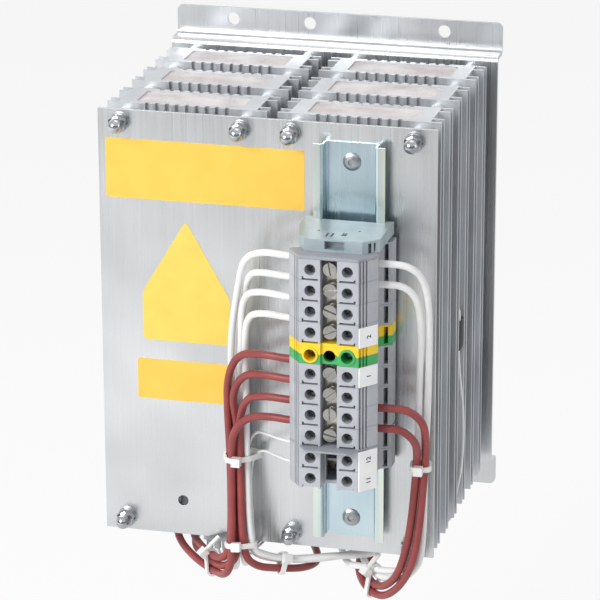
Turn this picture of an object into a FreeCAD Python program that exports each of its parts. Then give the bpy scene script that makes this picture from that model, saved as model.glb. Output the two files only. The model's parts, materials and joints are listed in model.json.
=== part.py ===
"""Braking resistor, 1.5 kW class, for wall mounting.

Six finned aluminium resistor bodies stand in two columns and three rows between a folded
steel back plate and a flat front plate.  Eight tie rods with sleeves clamp the stack.  The
front plate carries a short top-hat rail with eleven terminal blocks, and fourteen leads run
from the blocks round the lower edge of the plate to the undersides of the resistors.

Units are millimetres.  X is to the right, +Y points at the wall and +Z is up.  The origin is
on the wall plane, in the middle of the four corner fixing holes.
"""
import FreeCAD, Part
import math
import os

from FreeCAD import Vector

os.makedirs("parts", exist_ok=True)

# Resistor bodies, extruded aluminium
BODY_W = 80.0            # across the side fins
BODY_D = 26.8            # front rib faces to back rib faces
BODY_H = 217.0           # cut length
COLUMN_GAP = 5.0
ROWS = 3
FIN_L = 5.5              # side fins past the solid part
FIN_T = 1.5
FIN_INNER = 5.9          # depth at which the inner side fins start
GROOVE_COUNT = 9
GROOVE_PITCH = 5.0
GROOVE_W = 2.0
GROOVE_DEPTH = 2.2
CHAMBER_SIDE_WALL = 8.0  # of the solid part, beside the chamber
CHAMBER_WALL = 3.4       # front and back rib faces to the chamber
CHAMBER_R = 2.0
POTTING_RECESS = 0.8
LEAD_EXIT_OFFSET = 12.5  # lead exits, each side of a body's middle

# Stack along Y
SHEET_T = 2.0            # back plate
JOGGLE = 11.0            # wall plane to the back of the back plate's field
SLEEVE_REAR = 13.0
SLEEVE_ROW = 13.2
SLEEVE_FRONT = 11.0
PLATE_T = 1.5            # front plate

# Plates
BACK_SIDE_MARGIN = 3.0   # back plate past the outer fins
BACK_SHELF_MARGIN = 2.0  # outer face of a shelf past the end of the bodies
FLANGE_H = 14.5          # shelf's outer face to the flange's edge
BEND_R = 1.4             # inner bend radius
FLANGE_CORNER_R = 3.0
PLATE_SIDE_MARGIN = 1.0  # front plate past the outer fins
NOTCH = ((-30.6, 0.0), (-19.9, 4.0), (-18.5, 4.0), (-18.5, 0.0))   # x, height above the edge
SPARE_HOLE_D = 5.3
SPARE_HOLE_X = -43.4
WALL_HOLE_D = 6.5
WALL_HOLE_SIDE = 30.0    # outer wall holes to the side edge
WALL_HOLE_MID_X = -15.0
WALL_HOLE_EDGE = 6.0     # wall holes to the flange's edge

# Tie rods, M5
ROD_D = 4.8
ROD_HOLE_D = 5.3
ROD_X = 30.0             # each side of a column's middle
ROD_EDGE = 6.5           # rod to the end of the bodies
ROD_END = 1.5            # rod past the rear nut
SLEEVE_D = 9.0
WASHER_D = 10.0
WASHER_T = 1.0
SPRING_WASHER_D = 8.6
SPRING_WASHER_T = 1.3
SPRING_GAP = 0.8
NUT_AF = 8.0
NUT_T = 4.0
CAP_NUT_HEX_T = 4.0
CAP_NUT_DOME_D = 7.0
CAP_NUT_H = 9.2
CAP_NUT_TURNED = 0.1     # the hexagon's face is turned this much inside its flats

# Top-hat rail
RAIL_W = 35.0
RAIL_DEPTH = 7.5
RAIL_T = 1.0
RAIL_FLOOR_W = 27.0
RAIL_LEN = 200.0
RAIL_BEND_R = 0.6
RIVET_EDGE = 9.4         # rivet to the end of the rail
RIVET_D = 4.0
RIVET_HOLE_D = 4.1
RIVET_HEAD_D = 9.0
RIVET_HEAD_H = 1.6
RIVET_HEAD_SHAPE = ((0.94, 0.45), (0.68, 0.85), (0.36, 1.0), (0.3, 0.6))   # shares of radius, height
RIVET_BULB_D = 5.8
RIVET_BULB_L = 4.0

# Terminal blocks.  Their outlines use u, across the block from the rail's middle, and d, the
# height above the front plate.
BLOCK_PITCH = 10.3
BLOCK_CLEARANCE = 0.1
BLOCKS = 11
EARTH_BLOCK = 5          # counted from the top
UPPER_BLOCKS = 9         # blocks above the partition plate
FIRST_BLOCK_Z = 50.8
BLOCK_HALF_W = 21.25
BLOCK_TOP_D = 47.0
SHOULDER_DROP = 9.0      # plateau to the lower edge of the shoulder
PLATEAU_HALF_W = 14.2
LIP_H = 2.0              # upright edge below the shoulder
WAIST_HALF_W = 17.0      # the wall with the wire entries lies back under the shoulder
WAIST_SLOPE = 2.0
CHANNEL_HALF_W = 4.0
CHANNEL_DEPTH = 8.5
CHANNEL_FLOOR_T = 2.5    # channel to the cavity below it
CHANNEL_RIM = 0.6        # left beside the open floor of the last two blocks' channel
FOOT_HALF_W = 22.4
FOOT_TOP_D = 15.0
FOOT_SLOPE = 3.5         # the foot's top falls this much on its way out
FOOT_D = 4.0
POCKET_U = (18.7, 20.6)  # slot in the top of each foot, for a release tool
POCKET_L = 8.4
POCKET_BOTTOM_D = 5.6
HOOK_T = 1.3
HOOK_REACH = 1.2         # of the hooks, under the edge of the rail
HOOK_LEAD_IN = 1.2
FIT = 0.2                # clearance of a hook or leg on the rail
MARKER_GROOVES = (0.8, 2.7, 4.6)   # distance of each groove from the plateau, down the shoulder
MARKER_GROOVE_W = 1.0
MARKER_GROOVE_DEPTH = 1.7
SCREW_U = 8.95
SCREW_HOLE_D = 5.3
ENTRY_DROP = 6.5         # cavity's top to the middle of the wire entries
ENTRY_SIZE = 4.9
CAVITY_HALF_W = 15.0
CAVITY_DEPTH = 15.0
CAVITY_WALL = 1.2
PARTING_DEPTH = 3.5
PARTING_T = 0.8
PARTING_OUT = 12.9
PARTING_IN = 5.2
PARTING_TICK = 1.6
COVER_T = 1.5
PARTITION_T = 1.0
PARTITION_OUT = 6.0      # the partition plate stands this far in front of the blocks
PARTITION_HALF_W = 10.2
PARTITION_R = 1.5
SIDE_PLATE_GAP = 1.0     # the cover and the partition end this far above the rail
BRACKET_T = 6.0
BRACKET_TOP_D = 38.8
BRACKET_HALF_W = 14.0
BRACKET_LEFT = ((-18.3, 31.5), (-21.5, 18.0))   # corners of its left side, u and d
BRACKET_RIGHT = (21.2, 32.5)
BRACKET_WINDOW = (-4.0, 5.5)
BRACKET_WINDOW_DEPTH = 5.0
BRACKET_WINDOW_RIM = (1.2, 0.8)    # left below and above the window
BRACKET_SLOT_W = 1.0
BRACKET_SLOT_DEPTH = 2.0
BRACKET_SLOTS = ((-10.0, 25.0, 1.4), (-4.6, 27.5, 6.5), (-2.2, 27.5, 6.5),
                 (2.6, 26.5, 5.0), (3.9, 26.5, 5.0), (9.0, 22.0, 1.6))     # u, d, length
BRACKET_NOTCHES = ((16.4, 17.6), (18.6, 19.3))   # across each shoulder, from u to u
BRACKET_NOTCH_DEPTH = 3.0
BRACKET_NOTCH_WALL = 1.2
EARTH_CHANNEL_DEPTH = 1.6
EARTH_RING_D = 7.6
EARTH_RING_H = 0.7
EARTH_HOLE_D = 5.8
EARTH_HOLE_DEPTH = 12.0
EARTH_OFFSETS = ((-SCREW_U, -0.6), (0.0, -1.2), (SCREW_U, -0.6))

# Metal inside the blocks
BAR_T = 1.0
BAR_H = 4.6
BAR_HALF_L = 14.0
CAGE_L = 6.6
CAGE_H = 7.4
CAGE_WALL = 1.2
CAGE_WINDOW = 4.9
CLAMP_SCREW_D = 4.4
CAGE_HEADROOM = 0.6      # clamp screw's point to the cage's top wall
CLAMP_SCREW_L = 10.0
CLAMP_ANGLES = (35, 50)  # turn of the slot from block to block, and from side to side
SLOT_W = 0.9
SLOT_DEPTH = 1.1
BRIDGE_SCREW_HEAD_D = 6.6
BRIDGE_SCREW_HEAD_T = 2.2
BRIDGE_SCREW_TOP = 2.2   # the head's top lies this far below the plateau
BRIDGE_SCREW_D = 3.4
BRIDGE_COLLAR_D = 4.6
BRIDGE_BAR_T = 1.2
BRIDGE_BAR_HALF_W = 2.6
BRIDGE_BAR_END = 3.5     # bar past its outer screws' axes
BRIDGE_ANGLES = (80, -8, 20, -25, 0, -48, -40, 88, 12)   # slot of each upper block's screw

# Marker tags
TAG_T = 0.8
TAG_L = 11.0
TAG_H = 9.8
TAG_START = 0.2          # tag's edge below the plateau
TAG_LOW = 1.0            # the first tag sits this much below its block's middle

# Leads
RED_D = 3.8
WHITE_D = 3.4
SENSOR_D = 1.3
SLEEVE_LEAD_D = 5.4
SLEEVE_LEAD_L = 5.0
SLEEVE_BORE_CLEARANCE = 0.05
BEND_SHARE = 0.45        # part of the shorter run that a bend takes up on each side
LEVEL_OUT = 0.75         # the leads stay level up to this far outside the blocks
LEAD_IN_CAGE = 1.0       # the leads start this far inside the cages
EXIT_DROP = 9.2          # straight last run of each lead, up into the resistor
SWITCH_X = (-35.0, -21.0)
SWITCH_T = 7.0
SWITCH_BELOW = 4.5       # the switch ends this far below the bodies
SWITCH_L = 16.0
SWITCH_TAB_X = (-28.5, -32.5)
SWITCH_TAB_D = 3.4
SWITCH_TAB_L = 5.0
SENSOR_IN_TAB = 1.0      # the thin leads end this far from the switch's body
TIE_T = 1.0
TIE_W = 2.5
TIE_SLACK = 0.35
HULL_MERGE = 0.5         # corners flatter than this, in mm2, are left out of a tie's outline
TIE_HEAD = (4.4, 3.4)
TIE_TAIL = (1.0, 9.0)    # thickness and length of the cut end that stays outside the head

# Places that follow from the sizes above
LAND_W = BODY_W - 2 * FIN_L
CHAMBER_W = LAND_W - 2 * CHAMBER_SIDE_WALL
CHAMBER_D = BODY_D - 2 * CHAMBER_WALL
BODIES_W = 2 * BODY_W + COLUMN_GAP
BACK_W = BODIES_W + 2 * BACK_SIDE_MARGIN
BACK_FIELD_H = BODY_H + 2 * BACK_SHELF_MARGIN
BACK_H = BACK_FIELD_H + 2 * FLANGE_H
PLATE_W = BODIES_W + 2 * PLATE_SIDE_MARGIN
PLATE_H = BODY_H
WALL_HOLE_X = BACK_W / 2 - WALL_HOLE_SIDE
WALL_HOLE_Z = BACK_H / 2 - WALL_HOLE_EDGE
ROD_Z = BODY_H / 2 - ROD_EDGE
RIVET_Z = RAIL_LEN / 2 - RIVET_EDGE
FIELD_FRONT_Y = -JOGGLE - SHEET_T
ROW_PITCH = BODY_D + SLEEVE_ROW
REAR_ROW_BACK_Y = FIELD_FRONT_Y - SLEEVE_REAR
ROW_MID_Y = [REAR_ROW_BACK_Y - BODY_D / 2 - (ROWS - 1 - row) * ROW_PITCH for row in range(ROWS)]
ROW_FRONT_Y = [middle - BODY_D / 2 for middle in ROW_MID_Y]
PLATE_BACK_Y = ROW_FRONT_Y[0] - SLEEVE_FRONT
FRONT_Y = PLATE_BACK_Y - PLATE_T
COLUMN_X = [-(BODY_W + COLUMN_GAP) / 2, (BODY_W + COLUMN_GAP) / 2]
RAIL_X = COLUMN_X[1]
RODS = [(column + side * ROD_X, level * ROD_Z)
        for column in COLUMN_X for side in (-1, 1) for level in (-1, 1)]
BLOCK_Z = [FIRST_BLOCK_Z - index * BLOCK_PITCH - (PARTITION_T if index >= UPPER_BLOCKS else 0)
           for index in range(BLOCKS)]
BLOCK_T = BLOCK_PITCH - BLOCK_CLEARANCE
SHOULDER_D = BLOCK_TOP_D - SHOULDER_DROP
CHANNEL_FLOOR_D = BLOCK_TOP_D - CHANNEL_DEPTH
CAVITY_TOP_D = CHANNEL_FLOOR_D - CHANNEL_FLOOR_T
CAVITY_BOTTOM_D = CAVITY_TOP_D - CAVITY_DEPTH
ENTRY_D = CAVITY_TOP_D - ENTRY_DROP
SWITCH_Z = (-BODY_H / 2 - SWITCH_BELOW, -BODY_H / 2 - SWITCH_BELOW + SWITCH_L)
BAR_D = ENTRY_D - RED_D / 2 - BLOCK_CLEARANCE - BAR_T    # underside of the current bars
CAGE_BOTTOM_D = BAR_D - BLOCK_CLEARANCE - CAGE_WALL
CLAMP_SCREW_BOTTOM_D = ENTRY_D + RED_D / 2 + BLOCK_CLEARANCE

ALONG_X = Vector(1, 0, 0)
ALONG_Y = Vector(0, 1, 0)
ALONG_Z = Vector(0, 0, 1)


def depth_y(d):
    """Y of a point that lies d in front of the front plate."""
    return FRONT_Y - d


def corner_arc(before, corner, after, radius):
    """Start, middle and end of the arc that rounds a corner between two runs."""
    back = (before - corner).normalize()
    on = (after - corner).normalize()
    half = back.getAngle(on) / 2
    setback = radius / math.tan(half)
    middle = corner + (back + on).normalize() * (radius / math.sin(half) - radius)
    return corner + back * setback, middle, corner + on * setback


def rounded_edges(points, radii, closed=False):
    """Straight runs joined by tangent arcs; a radius of 0 leaves the corner sharp."""
    count = len(points)
    stops = []
    for index, point in enumerate(points):
        inner = closed or 0 < index < count - 1
        if inner and radii[index] > 0:
            before = points[index - 1]
            after = points[(index + 1) % count]
            stops.append(corner_arc(before, point, after, radii[index]))
        else:
            stops.append((point, None, point))
    edges = []
    for index, (start, middle, end) in enumerate(stops):
        if middle is not None:
            edges.append(Part.Arc(start, middle, end).toShape())
        if index < count - 1 or closed:
            following = stops[(index + 1) % count][0]
            if end.distanceToPoint(following) > 1e-6:
                edges.append(Part.LineSegment(end, following).toShape())
    return edges


def face_of(points):
    """Flat face inside an outline; each entry is a point and its corner radius."""
    corners = [point for point, radius in points]
    radii = [radius for point, radius in points]
    return Part.Face(Part.Wire(rounded_edges(corners, radii, closed=True)))


def prism_z(points, bottom, top):
    """Prism along Z over (x, y) or (x, y, corner radius) points."""
    outline = [(Vector(p[0], p[1], bottom), p[2] if len(p) > 2 else 0) for p in points]
    return face_of(outline).extrude(Vector(0, 0, top - bottom))


def prism_y(points, start, end):
    """Prism along Y over (x, z) or (x, z, corner radius) points."""
    outline = [(Vector(p[0], start, p[1]), p[2] if len(p) > 2 else 0) for p in points]
    return face_of(outline).extrude(Vector(0, end - start, 0))


def block(x0, x1, y0, y1, z0, z1):
    """Box between two corners given in any order."""
    low = Vector(min(x0, x1), min(y0, y1), min(z0, z1))
    return Part.makeBox(abs(x1 - x0), abs(y1 - y0), abs(z1 - z0), low)


def disc_y(diameter, x, z, y0, y1):
    """Cylinder along Y."""
    return Part.makeCylinder(diameter / 2, abs(y1 - y0), Vector(x, min(y0, y1), z), ALONG_Y)


def ring_y(outer, inner, x, z, y0, y1):
    """Ring or sleeve along Y."""
    return disc_y(outer, x, z, y0, y1).cut(disc_y(inner, x, z, y0, y1))


def hex_y(across_flats, x, z, y0, y1):
    """Hexagonal prism along Y."""
    radius = across_flats / math.sqrt(3)
    angles = [math.radians(60 * step) for step in range(6)]
    points = [(x + radius * math.sin(a), z + radius * math.cos(a)) for a in angles]
    return prism_y(points, min(y0, y1), max(y0, y1))


def turned_y(profile, x, z, y):
    """Solid turned about an axis along Y; the profile is (radius, y offset) points."""
    points = [Vector(x + radius, y + offset, z) for radius, offset in profile]
    face = face_of([(point, 0) for point in points])
    return face.revolve(Vector(x, y, z), ALONG_Y, 360)


def bent_sheet(path, thickness, radius):
    """Section of a folded sheet: the path is one face, the other lies to its left."""
    offset = []
    for index, point in enumerate(path):
        normals = []
        for a, b in ((index - 1, index), (index, index + 1)):
            if a >= 0 and b < len(path):
                run = (path[b] - path[a]).normalize()
                normals.append(Vector(-run.y, run.x, 0))
        shift = normals[0] if len(normals) == 1 else normals[0] + normals[1]
        offset.append(point + shift * thickness)
    near = []
    far = []
    for index in range(len(path)):
        if index in (0, len(path) - 1):
            near.append(0)
            far.append(0)
            continue
        before = path[index] - path[index - 1]
        after = path[index + 1] - path[index]
        turns_left = before.cross(after).z > 0
        near.append(radius + thickness if turns_left else radius)
        far.append(radius if turns_left else radius + thickness)
    edges = rounded_edges(path, near)
    edges.append(Part.LineSegment(path[-1], offset[-1]).toShape())
    edges += rounded_edges(offset[::-1], far[::-1])
    edges.append(Part.LineSegment(offset[0], path[0]).toShape())
    return Part.Face(Part.Wire(Part.__sortEdges__(edges)))


def save(name, *shapes):
    """Write one node, and print its solids and volume."""
    shape = shapes[0] if len(shapes) == 1 else Part.makeCompound(list(shapes))
    assert shape.isValid(), name
    shape.exportStep("parts/" + name + ".step")
    print(f"{name:24s} {len(shape.Solids):3d} solids  {shape.Volume / 1000:9.3f} cm3")


# Back plate

def make_back_plate():
    """Folded sheet: a flange on the wall, a shelf, the field, a shelf and a flange."""
    half = BACK_H / 2
    shelf = BACK_FIELD_H / 2
    path = [Vector(0, -half, 0), Vector(0, -shelf + SHEET_T, 0), Vector(-JOGGLE, -shelf + SHEET_T, 0),
            Vector(-JOGGLE, shelf - SHEET_T, 0), Vector(0, shelf - SHEET_T, 0), Vector(0, half, 0)]
    section = bent_sheet(path, SHEET_T, BEND_R)
    sheet = section.extrude(Vector(0, 0, BACK_W))
    # the section was drawn in the XY plane; stand it up so that it runs along X
    sheet.rotate(Vector(0, 0, 0), Vector(1, 1, 1), 120)
    sheet.translate(Vector(-BACK_W / 2, 0, 0))
    corners = prism_y([(x * BACK_W / 2, z * half, FLANGE_CORNER_R)
                       for x, z in ((-1, -1), (1, -1), (1, 1), (-1, 1))],
                      FIELD_FRONT_Y - 1, 1)
    sheet = sheet.common(corners)
    holes = [disc_y(WALL_HOLE_D, x, level * WALL_HOLE_Z, -SHEET_T - 1, 1)
             for x in (-WALL_HOLE_X, WALL_HOLE_MID_X, WALL_HOLE_X) for level in (-1, 1)]
    holes += [disc_y(ROD_HOLE_D, x, z, FIELD_FRONT_Y - 1, -JOGGLE + 1) for x, z in RODS]
    return sheet.cut(holes)


# Front plate

def make_front_plate():
    """Flat sheet with the tie rod, rivet and spare holes and a notch for the leads."""
    half_w = PLATE_W / 2
    half_h = PLATE_H / 2
    outline = [(-half_w, -half_h)]
    outline += [(x, -half_h + height) for x, height in NOTCH]
    outline += [(half_w, -half_h), (half_w, half_h), (-half_w, half_h)]
    plate = prism_y(outline, FRONT_Y, PLATE_BACK_Y)
    y0 = FRONT_Y - 1
    y1 = PLATE_BACK_Y + 1
    holes = [disc_y(ROD_HOLE_D, x, z, y0, y1) for x, z in RODS]
    holes += [disc_y(RIVET_HOLE_D, RAIL_X, level * RIVET_Z, y0, y1) for level in (-1, 1)]
    holes.append(disc_y(SPARE_HOLE_D, SPARE_HOLE_X, -RIVET_Z, y0, y1))
    return plate.cut(holes)


# Resistor bodies

def body_outline():
    """Section of the extrusion about its middle: ribbed faces and four fins a side."""
    half_w = BODY_W / 2
    half_d = BODY_D / 2
    land = LAND_W / 2
    front = [(-half_w, -half_d)]
    for index in range(GROOVE_COUNT):
        middle = (index - (GROOVE_COUNT - 1) / 2) * GROOVE_PITCH
        left = middle - GROOVE_W / 2
        right = middle + GROOVE_W / 2
        front += [(left, -half_d), (left, -half_d + GROOVE_DEPTH),
                  (right, -half_d + GROOVE_DEPTH), (right, -half_d)]
    side = [(half_w, -half_d)]
    fins = [(0, FIN_T), (FIN_INNER, FIN_INNER + FIN_T),
            (BODY_D - FIN_INNER - FIN_T, BODY_D - FIN_INNER), (BODY_D - FIN_T, BODY_D)]
    for (start, end), (following, unused) in zip(fins, fins[1:]):
        side += [(half_w, -half_d + end), (land, -half_d + end),
                 (land, -half_d + following), (half_w, -half_d + following)]
    lower = front + side
    upper = [(-x, -y) for x, y in lower]
    return lower + upper


def make_body(column, row):
    """One extrusion with its chamber and the four cross holes for the tie rods."""
    x = COLUMN_X[column]
    y = ROW_MID_Y[row]
    bottom = -BODY_H / 2
    body = prism_z([(x + px, y + py) for px, py in body_outline()], bottom, bottom + BODY_H)
    chamber = chamber_block(x, y, bottom - 1, bottom + BODY_H + 1)
    holes = [disc_y(ROD_HOLE_D, x + side * ROD_X, level * ROD_Z, y - BODY_D, y + BODY_D)
             for side in (-1, 1) for level in (-1, 1)]
    return body.cut([chamber] + holes)


def chamber_block(x, y, bottom, top):
    """Space of the chamber between two heights."""
    w = CHAMBER_W / 2
    d = CHAMBER_D / 2
    corners = [(x - w, y - d), (x + w, y - d), (x + w, y + d), (x - w, y + d)]
    return prism_z([(px, py, CHAMBER_R) for px, py in corners], bottom, top)


def make_core(column, row):
    """Winding set in cement, which fills the chamber and is closed at both ends."""
    end = BODY_H / 2 - POTTING_RECESS
    return chamber_block(COLUMN_X[column], ROW_MID_Y[row], -end, end)


# Tie rods and what is on them

def make_tie_rods():
    rear = -JOGGLE + WASHER_T + SPRING_WASHER_T + NUT_T + ROD_END
    front = FRONT_Y - WASHER_T - SPRING_WASHER_T - CAP_NUT_HEX_T
    return [disc_y(ROD_D, x, z, front, rear) for x, z in RODS]


def make_sleeves():
    gaps = [(PLATE_BACK_Y, ROW_FRONT_Y[0])]
    for row in range(ROWS - 1):
        gaps.append((ROW_FRONT_Y[row] + BODY_D, ROW_FRONT_Y[row + 1]))
    gaps.append((REAR_ROW_BACK_Y, FIELD_FRONT_Y))
    return [ring_y(SLEEVE_D, ROD_HOLE_D, x, z, y0, y1) for x, z in RODS for y0, y1 in gaps]


def make_washers():
    """Flat washers under the cap nuts and under the rear nuts."""
    places = [(FRONT_Y - WASHER_T, FRONT_Y), (-JOGGLE, -JOGGLE + WASHER_T)]
    return [ring_y(WASHER_D, ROD_HOLE_D, x, z, y0, y1) for x, z in RODS for y0, y1 in places]


def make_spring_washers():
    """Split spring washers, front and rear."""
    front = FRONT_Y - WASHER_T
    rear = -JOGGLE + WASHER_T
    washers = []
    for x, z in RODS:
        for y0, y1 in ((front - SPRING_WASHER_T, front), (rear, rear + SPRING_WASHER_T)):
            split = block(x, x + SPRING_WASHER_D, y0 - 1, y1 + 1, z - SPRING_GAP / 2, z + SPRING_GAP / 2)
            washers.append(ring_y(SPRING_WASHER_D, ROD_HOLE_D, x, z, y0, y1).cut(split))
    return washers


def make_cap_nuts():
    """Domed cap nuts; the hexagon's front corners are turned off."""
    seat = FRONT_Y - WASHER_T - SPRING_WASHER_T
    dome_r = CAP_NUT_DOME_D / 2
    corner_r = NUT_AF / math.sqrt(3)
    chamfer = corner_r - NUT_AF / 2 + CAP_NUT_TURNED
    nuts = []
    for x, z in RODS:
        turned = turned_y([(0, 0), (corner_r, 0), (corner_r, -CAP_NUT_HEX_T + chamfer),
                           (corner_r - 2 * chamfer, -CAP_NUT_HEX_T), (0, -CAP_NUT_HEX_T)], x, z, seat)
        hexagon = hex_y(NUT_AF, x, z, seat - CAP_NUT_HEX_T, seat).common(turned)
        neck = disc_y(CAP_NUT_DOME_D, x, z, seat - CAP_NUT_H + dome_r, seat - CAP_NUT_HEX_T)
        dome = Part.makeSphere(dome_r, Vector(x, seat - CAP_NUT_H + dome_r, z))
        bore = disc_y(ROD_D, x, z, seat - CAP_NUT_HEX_T, seat)
        nuts.append(hexagon.fuse([neck, dome]).cut(bore).removeSplitter())
    return nuts


def make_rear_nuts():
    seat = -JOGGLE + WASHER_T + SPRING_WASHER_T
    return [hex_y(NUT_AF, x, z, seat, seat + NUT_T).cut(disc_y(ROD_D, x, z, seat, seat + NUT_T))
            for x, z in RODS]


# Rail

def make_rail():
    """Top-hat rail on the front plate, open towards the viewer."""
    half = RAIL_W / 2
    floor = RAIL_FLOOR_W / 2
    lip = RAIL_DEPTH - RAIL_T
    path = [Vector(-half, -lip, 0), Vector(-floor, -lip, 0), Vector(-floor, 0, 0),
            Vector(floor, 0, 0), Vector(floor, -lip, 0), Vector(half, -lip, 0)]
    section = bent_sheet(path[::-1], RAIL_T, RAIL_BEND_R)
    rail = section.extrude(Vector(0, 0, RAIL_LEN))
    rail.translate(Vector(RAIL_X, FRONT_Y, -RAIL_LEN / 2))
    holes = [disc_y(RIVET_HOLE_D, RAIL_X, level * RIVET_Z, depth_y(RAIL_T + 1), depth_y(-1))
             for level in (-1, 1)]
    return rail.cut(holes)


def make_rivets():
    """Blind rivets: domed head with a dimple, shank, and the bulb behind the plate."""
    rivets = []
    for level in (-1, 1):
        head_r = RIVET_HEAD_D / 2
        profile = [(0, 0), (head_r, 0)]
        profile += [(head_r * out, -RIVET_HEAD_H * up) for out, up in RIVET_HEAD_SHAPE]
        profile.append((0, profile[-1][1]))
        head = turned_y(profile, RAIL_X, level * RIVET_Z, depth_y(RAIL_T))
        shank = disc_y(RIVET_D, RAIL_X, level * RIVET_Z, depth_y(RAIL_T), PLATE_BACK_Y)
        bulb = disc_y(RIVET_BULB_D, RAIL_X, level * RIVET_Z, PLATE_BACK_Y, PLATE_BACK_Y + RIVET_BULB_L)
        rivets.append(head.fuse([shank, bulb]).removeSplitter())
    return rivets


# Terminal blocks

def place(points):
    """Turn (u, d) outline points, with an optional corner radius, into x and y."""
    return [(RAIL_X + p[0], depth_y(p[1])) + tuple(p[2:]) for p in points]


def hook(side, half_w):
    """Points under a foot, from its outer edge round the hook to the seat on the rail."""
    edge = RAIL_W / 2
    hook_top = RAIL_DEPTH - RAIL_T - FIT
    reach = edge - HOOK_REACH
    points = [(half_w, FOOT_D), (reach + HOOK_LEAD_IN, FOOT_D), (reach, hook_top - HOOK_T),
              (reach, hook_top), (edge + FIT, hook_top), (edge + FIT, RAIL_DEPTH)]
    return [(side * u, d) for u, d in points]


def waist(side):
    """Upright edge below the shoulder, and the slope back to the wall with the entry."""
    low = SHOULDER_D - LIP_H
    return [(side * BLOCK_HALF_W, low), (side * WAIST_HALF_W, low - WAIST_SLOPE)]


def flank(side):
    """Side of a block from the shoulder's lower edge down to the seat on the rail."""
    foot = [(side * WAIST_HALF_W, FOOT_TOP_D), (side * FOOT_HALF_W, FOOT_TOP_D - FOOT_SLOPE)]
    return waist(side) + foot + hook(side, FOOT_HALF_W)


def shoulder(side):
    """Points of the sloping marker face from the plateau down, with its grooves."""
    top = Vector(side * PLATEAU_HALF_W, BLOCK_TOP_D, 0)
    low = Vector(side * BLOCK_HALF_W, SHOULDER_D, 0)
    along = (low - top).normalize()
    inward = Vector(-side * abs(along.y), -abs(along.x), 0)
    points = [top]
    for start in MARKER_GROOVES:
        near = top + along * start
        far = near + along * MARKER_GROOVE_W
        points += [near, near + inward * MARKER_GROOVE_DEPTH, far + inward * MARKER_GROOVE_DEPTH, far]
    points.append(low)
    return [(p.x, p.y) for p in points]


def block_outline(channel_depth):
    """Outline of a block, clockwise from its seat on the rail's left edge."""
    channel = BLOCK_TOP_D - channel_depth
    middle = [(-CHANNEL_HALF_W, BLOCK_TOP_D), (-CHANNEL_HALF_W, channel),
              (CHANNEL_HALF_W, channel), (CHANNEL_HALF_W, BLOCK_TOP_D)]
    return flank(-1)[::-1] + shoulder(-1)[::-1] + middle + shoulder(1) + flank(1)


def hollow_block(outline, z):
    """Moulded block, open upwards; the next block, the partition or the cover closes it."""
    low = z - BLOCK_T / 2
    high = z + BLOCK_T / 2
    body = prism_z(place(outline), low, high)
    cavity = block(RAIL_X - CAVITY_HALF_W, RAIL_X + CAVITY_HALF_W, depth_y(CAVITY_BOTTOM_D),
                   depth_y(CAVITY_TOP_D), low + CAVITY_WALL, high + 1)
    cuts = [cavity]
    for side in (-1, 1):
        half = ENTRY_SIZE / 2
        outer = RAIL_X + side * (BLOCK_HALF_W + 1)
        inner = RAIL_X + side * (CAVITY_HALF_W - 1)
        cuts.append(block(outer, inner, depth_y(ENTRY_D - half), depth_y(ENTRY_D + half), z - half, z + half))
        near, far = [RAIL_X + side * u for u in POCKET_U]
        cuts.append(block(near, far, depth_y(POCKET_BOTTOM_D), depth_y(FOOT_TOP_D + 1),
                          z - POCKET_L / 2, z + POCKET_L / 2))
    return body.cut(cuts)


def parting_marks(z):
    """Shallow steps along the lower edge of a block, with a tick at their outer ends."""
    low = z - BLOCK_T / 2
    marks = []
    for side in (-1, 1):
        out = RAIL_X + side * PARTING_OUT
        inner = RAIL_X + side * PARTING_IN
        front = depth_y(BLOCK_TOP_D + 1)
        back = depth_y(BLOCK_TOP_D - PARTING_DEPTH)
        marks.append(block(out, inner, front, back, low - 1, low + PARTING_T))
        marks.append(block(out, out - side * PARTING_T, front, back, low - 1, low + PARTING_TICK))
    return marks


def make_grey_block(index):
    """Through terminal: two screw holes, a bridging channel and two wire entries."""
    z = BLOCK_Z[index]
    body = hollow_block(block_outline(BLOCK_TOP_D - CHANNEL_FLOOR_D), z)
    cuts = parting_marks(z)
    for side in (-1, 1):
        cuts.append(disc_y(SCREW_HOLE_D, RAIL_X + side * SCREW_U, z,
                           depth_y(BLOCK_TOP_D + 1), depth_y(CAVITY_TOP_D - 1)))
    top = depth_y(CHANNEL_FLOOR_D + 1)
    floor = depth_y(CAVITY_TOP_D - 1)
    if index < UPPER_BLOCKS:
        cuts.append(disc_y(BRIDGE_COLLAR_D, RAIL_X, z, top, floor))
    else:
        half = CHANNEL_HALF_W - CHANNEL_RIM
        through = BLOCK_PITCH if index == UPPER_BLOCKS else -BLOCK_PITCH
        cuts.append(block(RAIL_X - half, RAIL_X + half, top, floor, z + math.copysign(half, through),
                          z - through / 2))
    return body.cut(cuts)


def make_earth_block():
    """Earth terminal: shallow channel, rings round the screw holes, a round test hole."""
    z = BLOCK_Z[EARTH_BLOCK - 1]
    body = hollow_block(block_outline(EARTH_CHANNEL_DEPTH), z)
    rings = [disc_y(EARTH_RING_D, RAIL_X + u, z + shift, depth_y(BLOCK_TOP_D + EARTH_RING_H),
                    depth_y(BLOCK_TOP_D - 1)) for u, shift in EARTH_OFFSETS if u]
    cuts = []
    for u, shift in EARTH_OFFSETS:
        depth = BLOCK_TOP_D - CAVITY_TOP_D + 1 if u else EARTH_HOLE_DEPTH
        cuts.append(disc_y(EARTH_HOLE_D, RAIL_X + u, z + shift,
                           depth_y(BLOCK_TOP_D + EARTH_RING_H + 1), depth_y(BLOCK_TOP_D - depth)))
    return body.fuse(rings).cut(cuts).removeSplitter()


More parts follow.
